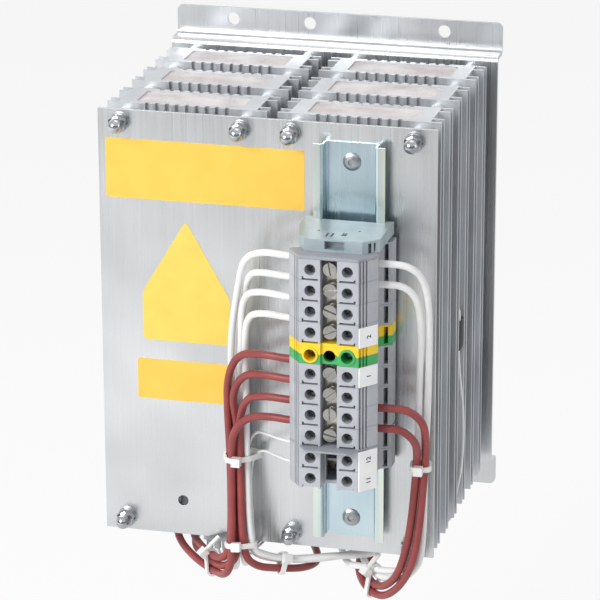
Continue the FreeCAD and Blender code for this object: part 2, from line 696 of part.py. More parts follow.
def side_plate(front, low, thickness):
    """Flat plate beside the blocks: their sides, with its own front edge between."""
    foot_d = RAIL_DEPTH + SIDE_PLATE_GAP
    left = [(-WAIST_HALF_W, foot_d)] + waist(-1)[::-1] + [(-BLOCK_HALF_W, SHOULDER_D)]
    right = [(BLOCK_HALF_W, SHOULDER_D)] + waist(1) + [(WAIST_HALF_W, foot_d)]
    return prism_z(place(left + front + right), low, low + thickness)


def make_end_cover():
    """Thin cover that closes the open side of the first block."""
    front = [(-PLATEAU_HALF_W, BLOCK_TOP_D), (PLATEAU_HALF_W, BLOCK_TOP_D)]
    return side_plate(front, BLOCK_Z[0] + BLOCK_PITCH / 2, COVER_T)


def make_partition():
    """Insulating plate that stands proud between the ninth and tenth blocks."""
    rise = BLOCK_TOP_D + PARTITION_OUT
    front = [(-PLATEAU_HALF_W, BLOCK_TOP_D), (-PARTITION_HALF_W, rise, PARTITION_R),
             (PARTITION_HALF_W, rise, PARTITION_R), (PLATEAU_HALF_W, BLOCK_TOP_D)]
    return side_plate(front, BLOCK_Z[UPPER_BLOCKS - 1] - BLOCK_PITCH / 2 - PARTITION_T, PARTITION_T)


def make_bracket():
    """End bracket that snaps on the rail above the cover and stops the row of blocks."""
    low = BLOCK_Z[0] + BLOCK_PITCH / 2 + COVER_T
    high = low + BRACKET_T
    left = hook(-1, -BRACKET_LEFT[-1][0])[::-1] + list(BRACKET_LEFT[::-1])
    top = [(-BRACKET_HALF_W, BRACKET_TOP_D), (BRACKET_HALF_W, BRACKET_TOP_D)]
    right = [BRACKET_RIGHT] + hook(1, BRACKET_RIGHT[0])
    body = prism_z(place(left + top + right), low, high)
    below, above = BRACKET_WINDOW_RIM
    cuts = [block(RAIL_X + BRACKET_WINDOW[0], RAIL_X + BRACKET_WINDOW[1], depth_y(BRACKET_TOP_D + 1),
                  depth_y(BRACKET_TOP_D - BRACKET_WINDOW_DEPTH), low + below, high - above)]
    for u, d, length in BRACKET_SLOTS:
        middle = RAIL_X + u
        cuts.append(block(middle - BRACKET_SLOT_W / 2, middle + BRACKET_SLOT_W / 2, depth_y(d),
                          depth_y(d + length), high - BRACKET_SLOT_DEPTH, high + 1))
    floor = BRACKET_RIGHT[1] - BRACKET_NOTCH_DEPTH
    for near, far in BRACKET_NOTCHES:
        cuts.append(block(RAIL_X + near, RAIL_X + far, depth_y(floor), depth_y(BRACKET_TOP_D),
                          low - 1, high - BRACKET_NOTCH_WALL))
    return body.cut(cuts)


# Metal inside the blocks

def make_current_bars():
    """Flat bar in every block, from one clamp to the other."""
    bars = []
    for index, z in enumerate(BLOCK_Z):
        bar = block(RAIL_X - BAR_HALF_L, RAIL_X + BAR_HALF_L, depth_y(BAR_D), depth_y(BAR_D + BAR_T),
                    z - BAR_H / 2, z + BAR_H / 2)
        if index != EARTH_BLOCK - 1:
            bar = bar.cut(disc_y(BRIDGE_SCREW_D, RAIL_X, z, depth_y(BAR_D - 1), depth_y(BAR_D + BAR_T + 1)))
        bars.append(bar)
    return bars


def make_cages():
    """Clamping cages round the bar and the end of the lead."""
    cages = []
    top = CLAMP_SCREW_BOTTOM_D + CAGE_HEADROOM + CAGE_WALL
    for z in BLOCK_Z:
        for side in (-1, 1):
            middle = RAIL_X + side * SCREW_U
            x0 = middle - CAGE_L / 2
            x1 = middle + CAGE_L / 2
            outer = block(x0, x1, depth_y(CAGE_BOTTOM_D), depth_y(top), z - CAGE_H / 2, z + CAGE_H / 2)
            window = block(x0 - 1, x1 + 1, depth_y(CAGE_BOTTOM_D + CAGE_WALL), depth_y(top - CAGE_WALL),
                           z - CAGE_WINDOW / 2, z + CAGE_WINDOW / 2)
            thread = disc_y(CLAMP_SCREW_D, middle, z, depth_y(top - CAGE_WALL - 1), depth_y(top + 1))
            cages.append(outer.cut([window, thread]))
    return cages


def slotted(screw, x, z, top_d, diameter, angle):
    """Cut a screwdriver slot across a screw's front face."""
    slot = block(x - diameter, x + diameter, depth_y(top_d + 1), depth_y(top_d - SLOT_DEPTH),
                 z - SLOT_W / 2, z + SLOT_W / 2)
    slot.rotate(Vector(x, 0, z), ALONG_Y, angle)
    return screw.cut(slot)


def make_clamp_screws():
    """Slotted screws that show at the bottom of the screw holes."""
    screws = []
    top = CLAMP_SCREW_BOTTOM_D + CLAMP_SCREW_L
    for row, z in enumerate(BLOCK_Z):
        for side in (-1, 1):
            x = RAIL_X + side * SCREW_U
            screw = disc_y(CLAMP_SCREW_D, x, z, depth_y(CLAMP_SCREW_BOTTOM_D), depth_y(top))
            angle = CLAMP_ANGLES[0] * row + CLAMP_ANGLES[1] * side
            screws.append(slotted(screw, x, z, top, CLAMP_SCREW_D, angle))
    return screws


def make_bridge_screws():
    """Collared screws of the two cross bridges, each block's slot at its own angle."""
    screws = []
    head_top = BLOCK_TOP_D - BRIDGE_SCREW_TOP
    head_low = head_top - BRIDGE_SCREW_HEAD_T
    bar_top = CHANNEL_FLOOR_D + BRIDGE_BAR_T
    for index in range(UPPER_BLOCKS):
        if index == EARTH_BLOCK - 1:
            continue
        z = BLOCK_Z[index]
        head = disc_y(BRIDGE_SCREW_HEAD_D, RAIL_X, z, depth_y(head_low), depth_y(head_top))
        collar = disc_y(BRIDGE_COLLAR_D, RAIL_X, z, depth_y(bar_top), depth_y(head_low))
        shank = disc_y(BRIDGE_SCREW_D, RAIL_X, z, depth_y(BAR_D), depth_y(bar_top))
        screw = head.fuse([collar, shank]).removeSplitter()
        screws.append(slotted(screw, RAIL_X, z, head_top, BRIDGE_SCREW_HEAD_D, BRIDGE_ANGLES[index]))
    return screws


def make_bridge_bars():
    """Cross bridges in the channels of blocks 1 to 4 and 6 to 9."""
    bars = []
    for first, last in ((0, EARTH_BLOCK - 2), (EARTH_BLOCK, UPPER_BLOCKS - 1)):
        top = BLOCK_Z[first] + BRIDGE_BAR_END
        low = BLOCK_Z[last] - BRIDGE_BAR_END
        bar = block(RAIL_X - BRIDGE_BAR_HALF_W, RAIL_X + BRIDGE_BAR_HALF_W, depth_y(CHANNEL_FLOOR_D),
                    depth_y(CHANNEL_FLOOR_D + BRIDGE_BAR_T), low, top)
        holes = [disc_y(BRIDGE_SCREW_D, RAIL_X, BLOCK_Z[index], depth_y(CHANNEL_FLOOR_D - 1),
                        depth_y(CHANNEL_FLOOR_D + BRIDGE_BAR_T + 1)) for index in range(first, last + 1)]
        bars.append(bar.cut(holes))
    return bars


def make_tag(z, height):
    """Plastic tag snapped on the right shoulder."""
    top = Vector(PLATEAU_HALF_W, BLOCK_TOP_D, 0)
    low = Vector(BLOCK_HALF_W, SHOULDER_D, 0)
    along = (low - top).normalize()
    outward = Vector(-along.y, along.x, 0)
    start = top + along * TAG_START
    end = start + along * TAG_L
    corners = [start, end, end + outward * TAG_T, start + outward * TAG_T]
    return prism_z(place([(p.x, p.y) for p in corners]), z - height / 2, z + height / 2)


# Leads

def lead(diameter, route):
    """Round lead along straight runs joined by arcs, as large as the runs allow."""
    points = [Vector(*point) for point in route]
    radii = [0]
    for before, corner, after in zip(points, points[1:], points[2:]):
        turn = (corner - before).getAngle(after - corner)
        shorter = min((corner - before).Length, (after - corner).Length)
        radii.append(BEND_SHARE * shorter / math.tan(turn / 2))
    radii.append(0)
    path = Part.Wire(rounded_edges(points, radii))
    heading = (points[1] - points[0]).normalize()
    section = Part.Wire([Part.makeCircle(diameter / 2, points[0], heading)])
    tube = path.makePipeShell([section], True, False)
    expected = math.pi * diameter ** 2 / 4 * path.Length
    smallest = min(radius for radius in radii if radius)
    print(f"  lead {path.Length:6.1f} mm long, smallest radius {smallest:5.1f} mm, "
          f"volume ratio {tube.Volume / expected:.4f}")
    return tube


CAGE_OUT = SCREW_U - CAGE_L / 2 + LEAD_IN_CAGE
ENTRY_Y = depth_y(ENTRY_D)
LEAD_END_Z = -BODY_H / 2 + POTTING_RECESS
EXIT_X = [COLUMN_X[0] - LEAD_EXIT_OFFSET, COLUMN_X[0] + LEAD_EXIT_OFFSET,
          COLUMN_X[1] - LEAD_EXIT_OFFSET, COLUMN_X[1] + LEAD_EXIT_OFFSET]
LEFT = -1
RIGHT = 1
SWITCH_FRONT_Y = ROW_FRONT_Y[0] - SWITCH_T


def entry_run(side, index):
    """Level first run of a lead, out of the clamp and through the wire entry."""
    inner = RAIL_X + side * CAGE_OUT
    outer = RAIL_X + side * (BLOCK_HALF_W + LEVEL_OUT)
    return [(inner, ENTRY_Y, BLOCK_Z[index]), (outer, ENTRY_Y, BLOCK_Z[index])]


def exit_run(exit_index, row):
    """Vertical last run of a lead, up into the cement of a resistor."""
    x = EXIT_X[exit_index]
    y = ROW_MID_Y[row]
    return [(x, y, LEAD_END_Z - EXIT_DROP), (x, y, LEAD_END_Z)]


# Every lead starts in a block, joins one of the two bundles on the front plate, goes round the
# plate's lower edge and ends in the cement of a resistor.  A row holds the diameter, the side
# and number of the block, the bend points, and the exit and row of the resistor.
LEADS = {
    "lead_white_left_1": (WHITE_D, LEFT, 0, [
        (5.5, -174.2, 52.2), (-5.2, -168.5, 46.0), (-9.8, -162.0, 28.0), (-14.6, -156.4, 6.0),
        (-16.2, -152.6, -16.0), (-15.5, -151.1, -61.0), (-12.3, -160.9, -106.5),
        (-13.4, -155.0, -117.5), (-18.0, -142.5, -125.5), (-26.0, -129.0, -128.0)], 1, 0),
    "lead_white_left_2": (WHITE_D, LEFT, 1, [
        (6.0, -173.6, 41.6), (-3.5, -165.0, 37.5), (-8.6, -156.6, 20.0), (-12.0, -152.2, -2.0),
        (-12.8, -150.2, -24.0), (-12.0, -150.1, -61.0), (-8.8, -160.4, -107.5),
        (-9.6, -153.5, -118.0), (-14.0, -135.0, -124.0), (-23.0, -108.0, -122.5),
        (-28.0, -90.0, -126.0)], 1, 1),
    "lead_white_left_3": (WHITE_D, LEFT, 2, [
        (5.0, -173.0, 31.8), (-5.6, -166.5, 27.5), (-9.0, -160.4, 8.0), (-9.6, -154.4, -16.0),
        (-8.8, -151.9, -61.0), (-5.4, -160.7, -107.0), (0.0, -153.5, -113.2),
        (8.0, -147.2, -116.2), (18.0, -141.2, -117.8), (32.0, -134.0, -118.0),
        (45.0, -118.0, -118.5), (52.0, -97.0, -123.0)], 3, 1),
    "lead_white_left_4": (WHITE_D, LEFT, 3, [
        (5.5, -173.0, 21.2), (-4.2, -166.6, 16.5), (-6.6, -161.4, -2.0), (-7.2, -157.6, -24.0),
        (-7.8, -155.3, -61.0), (-4.2, -164.6, -104.5), (2.0, -157.2, -110.4),
        (8.6, -150.6, -114.2), (18.0, -144.8, -115.6), (32.0, -137.6, -115.6),
        (45.0, -128.5, -118.0)], 3, 0),
    "lead_red_left_1": (RED_D, LEFT, 5, [
        (5.0, -172.6, 0.1), (-9.0, -165.0, -3.5), (-16.4, -158.8, -18.0), (-17.2, -155.8, -38.0),
        (-16.0, -155.5, -61.0), (-13.3, -164.6, -105.0), (-19.5, -161.5, -113.5),
        (-30.5, -148.5, -115.8), (-44.0, -128.0, -116.5), (-50.0, -104.0, -118.5),
        (-54.0, -90.0, -121.5)], 0, 1),
    "lead_red_left_2": (RED_D, LEFT, 6, [
        (6.5, -172.6, -10.2), (-6.0, -166.0, -13.1), (-14.0, -160.0, -26.0), (-12.4, -155.4, -44.0),
        (-12.0, -154.3, -61.0), (-9.0, -164.4, -107.5), (-17.0, -163.0, -117.0),
        (-29.0, -148.8, -119.8), (-44.0, -128.5, -121.0), (-48.0, -98.0, -122.5),
        (-48.5, -68.0, -123.5), (-53.0, -50.0, -126.0)], 0, 2),
    "lead_red_left_3": (RED_D, LEFT, 7, [
        (6.0, -172.4, -21.1), (-5.0, -166.0, -25.2), (-10.2, -160.4, -40.0),
        (-10.4, -158.0, -61.0), (-7.0, -167.8, -106.0), (-2.6, -160.0, -115.8),
        (6.5, -151.8, -119.2), (18.0, -141.0, -122.5), (21.0, -122.0, -125.5),
        (8.0, -94.0, -125.0), (-12.0, -66.0, -124.0), (-25.0, -49.0, -126.5)], 1, 2),
    "lead_red_left_4": (RED_D, LEFT, 8, [
        (7.0, -172.2, -31.4), (-4.0, -167.6, -34.8), (-12.4, -164.8, -44.0),
        (-14.4, -159.3, -61.0), (-11.6, -168.9, -108.5), (-15.5, -166.8, -119.5),
        (-26.5, -152.0, -123.8), (-38.0, -141.0, -123.6), (-50.0, -127.5, -121.6)], 0, 0),
    "lead_white_right_1": (WHITE_D, RIGHT, 0, [
        (76.5, -172.6, 50.0), (83.0, -166.4, 41.0), (83.4, -159.0, 20.0), (82.2, -153.6, -4.0),
        (81.4, -152.0, -30.0), (80.2, -152.3, -60.0), (81.0, -157.6, -98.0),
        (77.8, -155.8, -110.5), (68.0, -151.4, -119.4), (57.0, -143.5, -122.5),
        (46.0, -130.0, -122.9), (37.0, -106.0, -122.8), (32.5, -90.0, -125.5)], 2, 1),
    "lead_white_right_2": (WHITE_D, RIGHT, 1, [
        (74.0, -172.2, 39.8), (79.6, -166.0, 31.0), (79.4, -158.6, 10.0), (77.8, -154.2, -10.0),
        (77.2, -152.8, -34.0), (76.6, -152.8, -60.0), (77.1, -159.1, -99.0),
        (72.0, -156.0, -112.0), (63.0, -148.6, -116.2), (55.0, -142.0, -119.0),
        (46.0, -136.0, -120.4), (36.0, -128.0, -124.2)], 2, 0),
    "lead_red_right_1": (RED_D, RIGHT, 7, [
        (76.0, -172.4, -21.7), (83.0, -165.6, -30.5), (82.2, -158.4, -46.0),
        (81.0, -156.2, -61.0), (79.9, -161.6, -88.0), (76.6, -162.6, -106.5),
        (68.5, -155.0, -122.0), (57.5, -146.8, -132.0), (46.0, -136.0, -130.5),
        (38.0, -116.0, -127.8), (38.0, -84.0, -127.2), (33.5, -54.0, -127.5)], 2, 2),
    "lead_red_right_2": (RED_D, RIGHT, 8, [
        (73.0, -172.6, -32.0), (79.0, -166.0, -40.5), (78.0, -159.0, -51.0),
        (77.0, -156.8, -62.0), (75.6, -161.4, -88.0), (71.6, -161.2, -106.0),
        (65.5, -154.5, -119.0), (56.5, -146.0, -127.0), (47.5, -134.0, -127.2),
        (43.5, -112.0, -126.8), (45.0, -82.0, -125.5), (51.5, -55.0, -127.0)], 3, 2),
}

# The two thin leads run from blocks 10 and 11 to the tabs of the thermal switch.
SENSORS = {
    "sensor_lead_1": (9, [
        (9.0, -166.5, -44.2), (-3.0, -153.5, -46.5), (-8.6, -149.2, -55.0), (-9.6, -149.2, -70.0),
        (-6.2, -155.6, -103.5), (-7.6, -150.0, -112.5), (-16.0, -141.5, -117.5),
        (-24.5, -137.0, -122.5)], 0, 7.5),
    "sensor_lead_2": (10, [
        (9.0, -165.0, -54.0), (-1.0, -153.0, -56.5), (-6.6, -149.2, -63.0), (-7.7, -149.8, -78.0),
        (-4.2, -155.8, -103.5), (-5.6, -149.0, -113.5), (-15.0, -139.0, -119.5),
        (-27.0, -135.5, -126.5)], 1, 8.0),
}


def switch_end(tab, drop):
    """Vertical last run of a thin lead, up into the sleeve of a switch tab."""
    x = SWITCH_TAB_X[tab]
    y = (SWITCH_FRONT_Y + ROW_FRONT_Y[0]) / 2
    return [(x, y, SWITCH_Z[0] - drop), (x, y, SWITCH_Z[0] - SENSOR_IN_TAB)]


def make_leads():
    leads = {}
    for name, (diameter, side, index, bends, exit_index, row) in LEADS.items():
        leads[name] = lead(diameter, entry_run(side, index) + bends + exit_run(exit_index, row))
    for name, (index, bends, tab, drop) in SENSORS.items():
        leads[name] = lead(SENSOR_D, entry_run(LEFT, index) + bends + switch_end(tab, drop))
    return leads


def make_lead_sleeves():
    """Insulating sleeves where the leads come out of the cement."""
    sleeves = []
    for diameter, side, index, bends, exit_index, row in LEADS.values():
        start = Vector(EXIT_X[exit_index], ROW_MID_Y[row], LEAD_END_Z - SLEEVE_LEAD_L)
        outer = Part.makeCylinder(SLEEVE_LEAD_D / 2, SLEEVE_LEAD_L, start, ALONG_Z)
        bore = Part.makeCylinder(diameter / 2 + SLEEVE_BORE_CLEARANCE, SLEEVE_LEAD_L, start, ALONG_Z)
        sleeves.append(outer.cut(bore))
    return sleeves


def make_switch():
    """Thermal switch on the front face of the front left body, with two sleeved tabs."""
    x0, x1 = SWITCH_X
    y0 = SWITCH_FRONT_Y
    y1 = ROW_FRONT_Y[0]
    body = prism_z([(x0, y0, 1.0), (x1, y0, 1.0), (x1, y1), (x0, y1)], *SWITCH_Z)
    middle = (y0 + y1) / 2
    for x in SWITCH_TAB_X:
        low = Vector(x, middle, SWITCH_Z[0] - SWITCH_TAB_L)
        tab = Part.makeCylinder(SWITCH_TAB_D / 2, SWITCH_TAB_L + SWITCH_T / 2, low, ALONG_Z)
        bore = Part.makeCylinder(SENSOR_D / 2 + SLEEVE_BORE_CLEARANCE,
                                 SWITCH_TAB_L - SENSOR_IN_TAB, low, ALONG_Z)
        body = body.fuse(tab.cut(bore))
    return body.removeSplitter()


def hull(points):
    """Corners of the smallest convex outline round points in the XY plane."""
    ordered = sorted((p.x, p.y) for p in points)
    outline = []
    for run in (ordered, ordered[::-1]):
        half = []
        for point in run:
            while len(half) > 1:
                (ax, ay), (bx, by) = half[-2:]
                if (bx - ax) * (point[1] - ay) - (by - ay) * (point[0] - ax) > HULL_MERGE:
                    break
                half.pop()
            half.append(point)
        outline += half[:-1]
    return [Vector(x, y, 0) for x, y in outline]


def tie(leads, names, middle, axis, head_angle, tail):
    """Cable tie drawn tight round the named leads, with its head on one side."""
    frame = FreeCAD.Placement(Vector(*middle), FreeCAD.Rotation(ALONG_Z, Vector(*axis)))
    inverse = frame.inverse()
    normal = frame.Rotation.multVec(ALONG_Z)
    held = []
    for name in names:
        cuts = leads[name].slice(normal, normal.dot(frame.Base))
        centres = [inverse.multVec(Part.Face(wire).CenterOfMass) for wire in cuts]
        held.append(min(centres, key=lambda centre: centre.Length))
    corners = hull(held)
    ring = Part.makePolygon(corners + corners[:1])
    thickest = RED_D if any("red" in name for name in names) else WHITE_D
    inner_wire = ring.makeOffset2D(thickest / 2 + TIE_SLACK)
    outer_wire = ring.makeOffset2D(thickest / 2 + TIE_SLACK + TIE_T)
    inner = Part.Face(inner_wire).extrude(ALONG_Z * TIE_W)
    outer = Part.Face(outer_wire).extrude(ALONG_Z * TIE_W)
    towards = Vector(math.cos(math.radians(head_angle)), math.sin(math.radians(head_angle)), 0)
    reach = max(corner.dot(towards) for corner in corners) + thickest / 2 + TIE_SLACK
    centre = sum(corners, Vector()) * (1 / len(corners))
    across = Vector(-towards.y, towards.x, 0)
    half = TIE_HEAD[0] / 2
    head = block(0, TIE_HEAD[1], -half, half, -half, half)
    if tail:
        thick, length = TIE_TAIL
        low = (TIE_HEAD[1] - thick) / 2
        head = head.fuse(block(low, low + thick, half, half + length, -TIE_W / 2, TIE_W / 2))
    head.rotate(Vector(), ALONG_Z, head_angle)
    head.translate(towards * reach + across * centre.dot(across) + ALONG_Z * (TIE_W / 2))
    whole = outer.cut(inner).fuse(head.cut(inner)).removeSplitter()
    whole.translate(ALONG_Z * (-TIE_W / 2))
    whole.Placement = frame.multiply(whole.Placement)
    return whole


LEFT_POWER = [name for name in LEADS if "left" in name]
LEFT_BUNDLE = LEFT_POWER + list(SENSORS)
RIGHT_BUNDLE = [name for name in LEADS if "right" in name]
# leads, a point in the band's plane, the plane's axis, the head's direction, a tail or not
TIES = [
    (LEFT_BUNDLE, (-12.6, -154.3, -60.0), (0, 0, 1), -90, False),
    (LEFT_POWER, (-10.5, -162.6, -103.4), (-0.06, 0.2, 1), -90, False),
    (["lead_red_left_1", "lead_red_left_2", "lead_red_left_4"],
     (-27.0, -151.5, -120.0), (-0.62, 0.75, 0), -90, True),
    (["lead_white_left_3", "lead_white_left_4", "lead_red_left_3"],
     (8.0, -149.0, -116.5), (0.8, 0.55, -0.2), -90, False),
    (RIGHT_BUNDLE, (78.8, -154.6, -57.0), (0, 0, 1), -90, False),
    (RIGHT_BUNDLE, (52.0, -141.0, -124.0), (-0.7, 0.65, 0.1), -90, True),
]


save("back_plate", make_back_plate())
save("front_plate", make_front_plate())
SIDES = ("left", "right")
LEVELS = ("front", "middle", "rear")
for column, side_name in enumerate(SIDES):
    for row, row_name in enumerate(LEVELS):
        save(f"heatsink_{side_name}_{row_name}", make_body(column, row))
        save(f"resistor_core_{side_name}_{row_name}", make_core(column, row))
save("tie_rods", *make_tie_rods())
save("spacer_sleeves", *make_sleeves())
save("flat_washers", *make_washers())
save("spring_washers", *make_spring_washers())
save("cap_nuts", *make_cap_nuts())
save("rear_nuts", *make_rear_nuts())
save("din_rail", make_rail())
save("rail_rivets", *make_rivets())
for index in range(BLOCKS):
    if index == EARTH_BLOCK - 1:
        save("earth_terminal", make_earth_block())
    else:
        save(f"terminal_{index + 1:02d}", make_grey_block(index))
save("end_cover", make_end_cover())
save("partition_plate", make_partition())
save("end_bracket", make_bracket())
save("current_bars", *make_current_bars())
save("clamp_cages", *make_cages())
save("clamp_screws", *make_clamp_screws())
save("bridge_screws", *make_bridge_screws())
save("bridge_bars", *make_bridge_bars())
save("marker_tags", make_tag(BLOCK_Z[3] - TAG_LOW, TAG_H), make_tag(BLOCK_Z[5], TAG_H),
     make_tag((BLOCK_Z[9] + BLOCK_Z[10]) / 2, BLOCK_PITCH + TAG_H))
leads = make_leads()
for name, shape in leads.items():
    save(name, shape)
save("lead_sleeves", *make_lead_sleeves())
save("thermal_switch", make_switch())
save("cable_ties", *[tie(leads, *values) for values in TIES])
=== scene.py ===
# %% [markdown]
# # Braking resistor with terminal rail
#
# Six finned resistor bodies are stacked between a folded back plate and a flat front plate.
# A short rail on the front carries eleven terminal blocks, and fourteen leads run from them,
# tied in two bundles, to the undersides of the resistors.
#
# The solids come from the imported CAD model and stay where they are.  Blender adds what CAD
# leaves out: softened edges on plastic and sheet, smooth leads, a small switch on the right
# side, stickers, printed numbers, and the materials.  The first cell loads the model.

# %% Load the imported model
import json
import math

import bpy
from mathutils import Matrix, Vector

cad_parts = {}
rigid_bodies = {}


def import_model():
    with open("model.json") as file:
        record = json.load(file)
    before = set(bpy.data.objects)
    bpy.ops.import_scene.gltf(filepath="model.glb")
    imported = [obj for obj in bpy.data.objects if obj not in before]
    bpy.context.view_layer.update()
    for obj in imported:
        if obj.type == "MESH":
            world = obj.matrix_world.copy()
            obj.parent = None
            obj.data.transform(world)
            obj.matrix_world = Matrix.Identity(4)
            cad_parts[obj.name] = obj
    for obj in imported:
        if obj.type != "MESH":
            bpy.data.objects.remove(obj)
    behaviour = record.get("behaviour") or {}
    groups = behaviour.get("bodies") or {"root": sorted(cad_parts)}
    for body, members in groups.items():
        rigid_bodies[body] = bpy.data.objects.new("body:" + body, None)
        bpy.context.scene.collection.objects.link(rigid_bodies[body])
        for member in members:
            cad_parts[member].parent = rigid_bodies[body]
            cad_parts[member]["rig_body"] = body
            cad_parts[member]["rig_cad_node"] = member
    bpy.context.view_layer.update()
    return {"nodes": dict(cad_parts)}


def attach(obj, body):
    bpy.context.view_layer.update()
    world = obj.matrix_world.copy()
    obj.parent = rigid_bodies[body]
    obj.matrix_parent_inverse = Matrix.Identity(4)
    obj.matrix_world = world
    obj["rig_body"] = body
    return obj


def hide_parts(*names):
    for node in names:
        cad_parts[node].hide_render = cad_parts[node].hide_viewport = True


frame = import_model()
nodes = frame["nodes"]
bpy.ops.object.select_all(action="DESELECT")


# %% [markdown]
# ## Units and places
#
# Blender works in metres and the drawing of this resistor in millimetres, so one factor turns
# the numbers below.  The front plate's face and the rail's middle are used again and again.

# %% Places on the part
MM = 0.001
FRONT_Y = -145.3 * MM       # face of the front plate
RAIL_X = 42.5 * MM          # middle of the rail
BLOCK_PITCH = 10.3 * MM
FIRST_BLOCK_Z = 50.8 * MM
LAST_ABOVE_PARTITION = 9    # the partition plate stands under this block
PARTITION_T = 1.0 * MM
BLOCK_TOP = 47.0 * MM       # from the plate's face to the front of a block
EARTH_BLOCK = 5


def block_z(number):
    """Height of the middle of terminal block 1 to 11."""
    below_partition = PARTITION_T if number > LAST_ABOVE_PARTITION else 0
    return FIRST_BLOCK_Z - (number - 1) * BLOCK_PITCH - below_partition


print("blocks from", round(block_z(1), 4), "to", round(block_z(11), 4))

# %% [markdown]
# ## Camera
#
# A product photograph like this one is taken from a few metres away with a long lens, so that
# upright edges stay almost parallel.  The camera stands to the right of the part and above it
# and looks at a point inside the stack.  Its place is given as two angles and a distance,
# which is how a photographer would describe it, and it is leaned by a small roll.

# %% Camera at the photograph's angle
AZIMUTH = math.radians(14.54)
ELEVATION = math.radians(18.77)
ROLL = math.radians(0.17)
DISTANCE = 1710.9 * MM
TARGET = Vector((-1.6, -75.0, -5.5)) * MM
LENS = 203.8
SENSOR_WIDTH = 36
CLIP_START = 0.1

towards = Vector((
    math.cos(ELEVATION) * math.sin(AZIMUTH),
    -math.cos(ELEVATION) * math.cos(AZIMUTH),
    math.sin(ELEVATION)))
bpy.ops.object.camera_add(location=TARGET + towards * DISTANCE)
camera = bpy.context.object
camera.name = "camera"
camera.rotation_mode = "QUATERNION"
lean = Matrix.Rotation(-ROLL, 3, "Z").to_quaternion()
camera.rotation_quaternion = towards.to_track_quat("Z", "Y") @ lean
camera.data.lens = LENS
camera.data.sensor_width = SENSOR_WIDTH
camera.data.clip_start = CLIP_START
bpy.context.scene.camera = camera
print("camera at", [round(v, 3) for v in camera.location])

# %% [markdown]
# ## Materials: the helpers
#
# Blender's shaders want linear colours, while colours are given as sRGB hex values, so
# one function turns the one into the other. A second one adds a node with its settings and
# its links; every material below is written with it.  All of them change a little between two
# tones, so that step is a function too.

# %% Colour and node helpers
def linear(hex_value):
    """sRGB hex colour as the linear RGBA that shader sockets want."""
    channels = [int(hex_value[i:i + 2], 16) / 255 for i in (1, 3, 5)]
    curve = [c / 12.92 if c <= 0.04045 else ((c + 0.055) / 1.055) ** 2.4 for c in channels]
    return (*curve, 1.0)


def add(tree, kind, settings=None, **inputs):
    """Add a node; an input is a value, or a socket to link from."""
    node = tree.nodes.new(kind)
    for name, value in (settings or {}).items():
        setattr(node, name, value)
    for name, value in inputs.items():
        key = int(name[1:]) if name[0] == "_" and name[1:].isdigit() else name.replace("_", " ")
        if isinstance(value, bpy.types.NodeSocket):
            tree.links.new(value, node.inputs[key])
        else:
            node.inputs[key].default_value = value
    return node


def new_material(name, hex_value, roughness, metallic=0.0):
    """Material with a Principled shader; gives back the material, its tree and the shader."""
    material = bpy.data.materials.new(name)
    material.use_nodes = True
    tree = material.node_tree
    shader = tree.nodes["Principled BSDF"]
    shader.inputs["Base Color"].default_value = linear(hex_value)
    shader.inputs["Roughness"].default_value = roughness
    shader.inputs["Metallic"].default_value = metallic
    return material, tree, shader


def place(tree, stretch=(1, 1, 1)):
    """Object coordinates, stretched along the axes of the part."""
    coordinates = add(tree, "ShaderNodeTexCoord").outputs["Object"]
    return add(tree, "ShaderNodeMapping", Vector=coordinates, Scale=stretch).outputs[0]


def per_mm(size):
    """Scale that makes a texture repeat about every so many millimetres."""
    return 1 / (size * MM)


def two_tones(tree, shader, value, start, end, low, high):
    """Base colour that goes from `low` to `high` while the value goes from start to end."""
    shade = add(tree, "ShaderNodeMapRange", Value=value, _1=start, _2=end)
    tint = add(tree, "ShaderNodeMix", {"data_type": "RGBA"}, Factor=shade.outputs[0],
               _6=linear(low), _7=linear(high))
    tree.links.new(tint.outputs[2], shader.inputs["Base Color"])


print("helpers ready, white is", linear("#FFFFFF"))

# %% [markdown]
# ## Sheet metal
#
# Both plates are stainless sheet with the mill's fine brushing, which runs upwards.  To the
# eye it is a pale grey that mirrors its surroundings as soft, upright smears.  Real grinding
# lines are some hundredths of a millimetre apart, too fine to show, so they are drawn about
# 0.7 mm apart.  One stretched noise makes them, in the tone, the roughness and the relief, and
# a large soft noise gives the slight clouding of handled sheet.

# %% Brushed stainless sheet
LINE_TONE = 0.35                     # share of the lines in the tone, beside the clouds
SMOOTHER, ROUGHER = -0.05, 0.06      # how far the lines change the roughness


def brushed_metal(name, low, high, roughness, spacing=0.7, length=60, cloud=55, relief=0.02):
    """Metal with lines along Z: lines every `spacing` mm, `length` mm long, in soft clouds."""
    material, tree, shader = new_material(name, high, roughness, 1.0)
    stretched = place(tree, (per_mm(spacing), per_mm(spacing), per_mm(length)))
    lines = add(tree, "ShaderNodeTexNoise", Vector=stretched, Scale=1.0, Detail=3.0).outputs[0]
    clouds = add(tree, "ShaderNodeTexNoise", Vector=place(tree), Scale=per_mm(cloud), Detail=2.0)
    both = add(tree, "ShaderNodeMath", {"operation": "MULTIPLY_ADD"},
               _0=lines, _1=LINE_TONE, _2=clouds.outputs[0])
    two_tones(tree, shader, both.outputs[0], 0.4, 0.95, low, high)
    rough = add(tree, "ShaderNodeMapRange", Value=lines, _1=0.3, _2=0.7,
                _3=roughness + SMOOTHER, _4=roughness + ROUGHER)
    tree.links.new(rough.outputs[0], shader.inputs["Roughness"])
    bump = add(tree, "ShaderNodeBump", Strength=relief, Distance=0.1 * MM, Height=lines)
    tree.links.new(bump.outputs[0], shader.inputs["Normal"])
    return material


stainless_sheet = brushed_metal("stainless_sheet_brushed", "#C6C8CA", "#E6E8EA", 0.30, relief=0.01)
print("made", stainless_sheet.name)

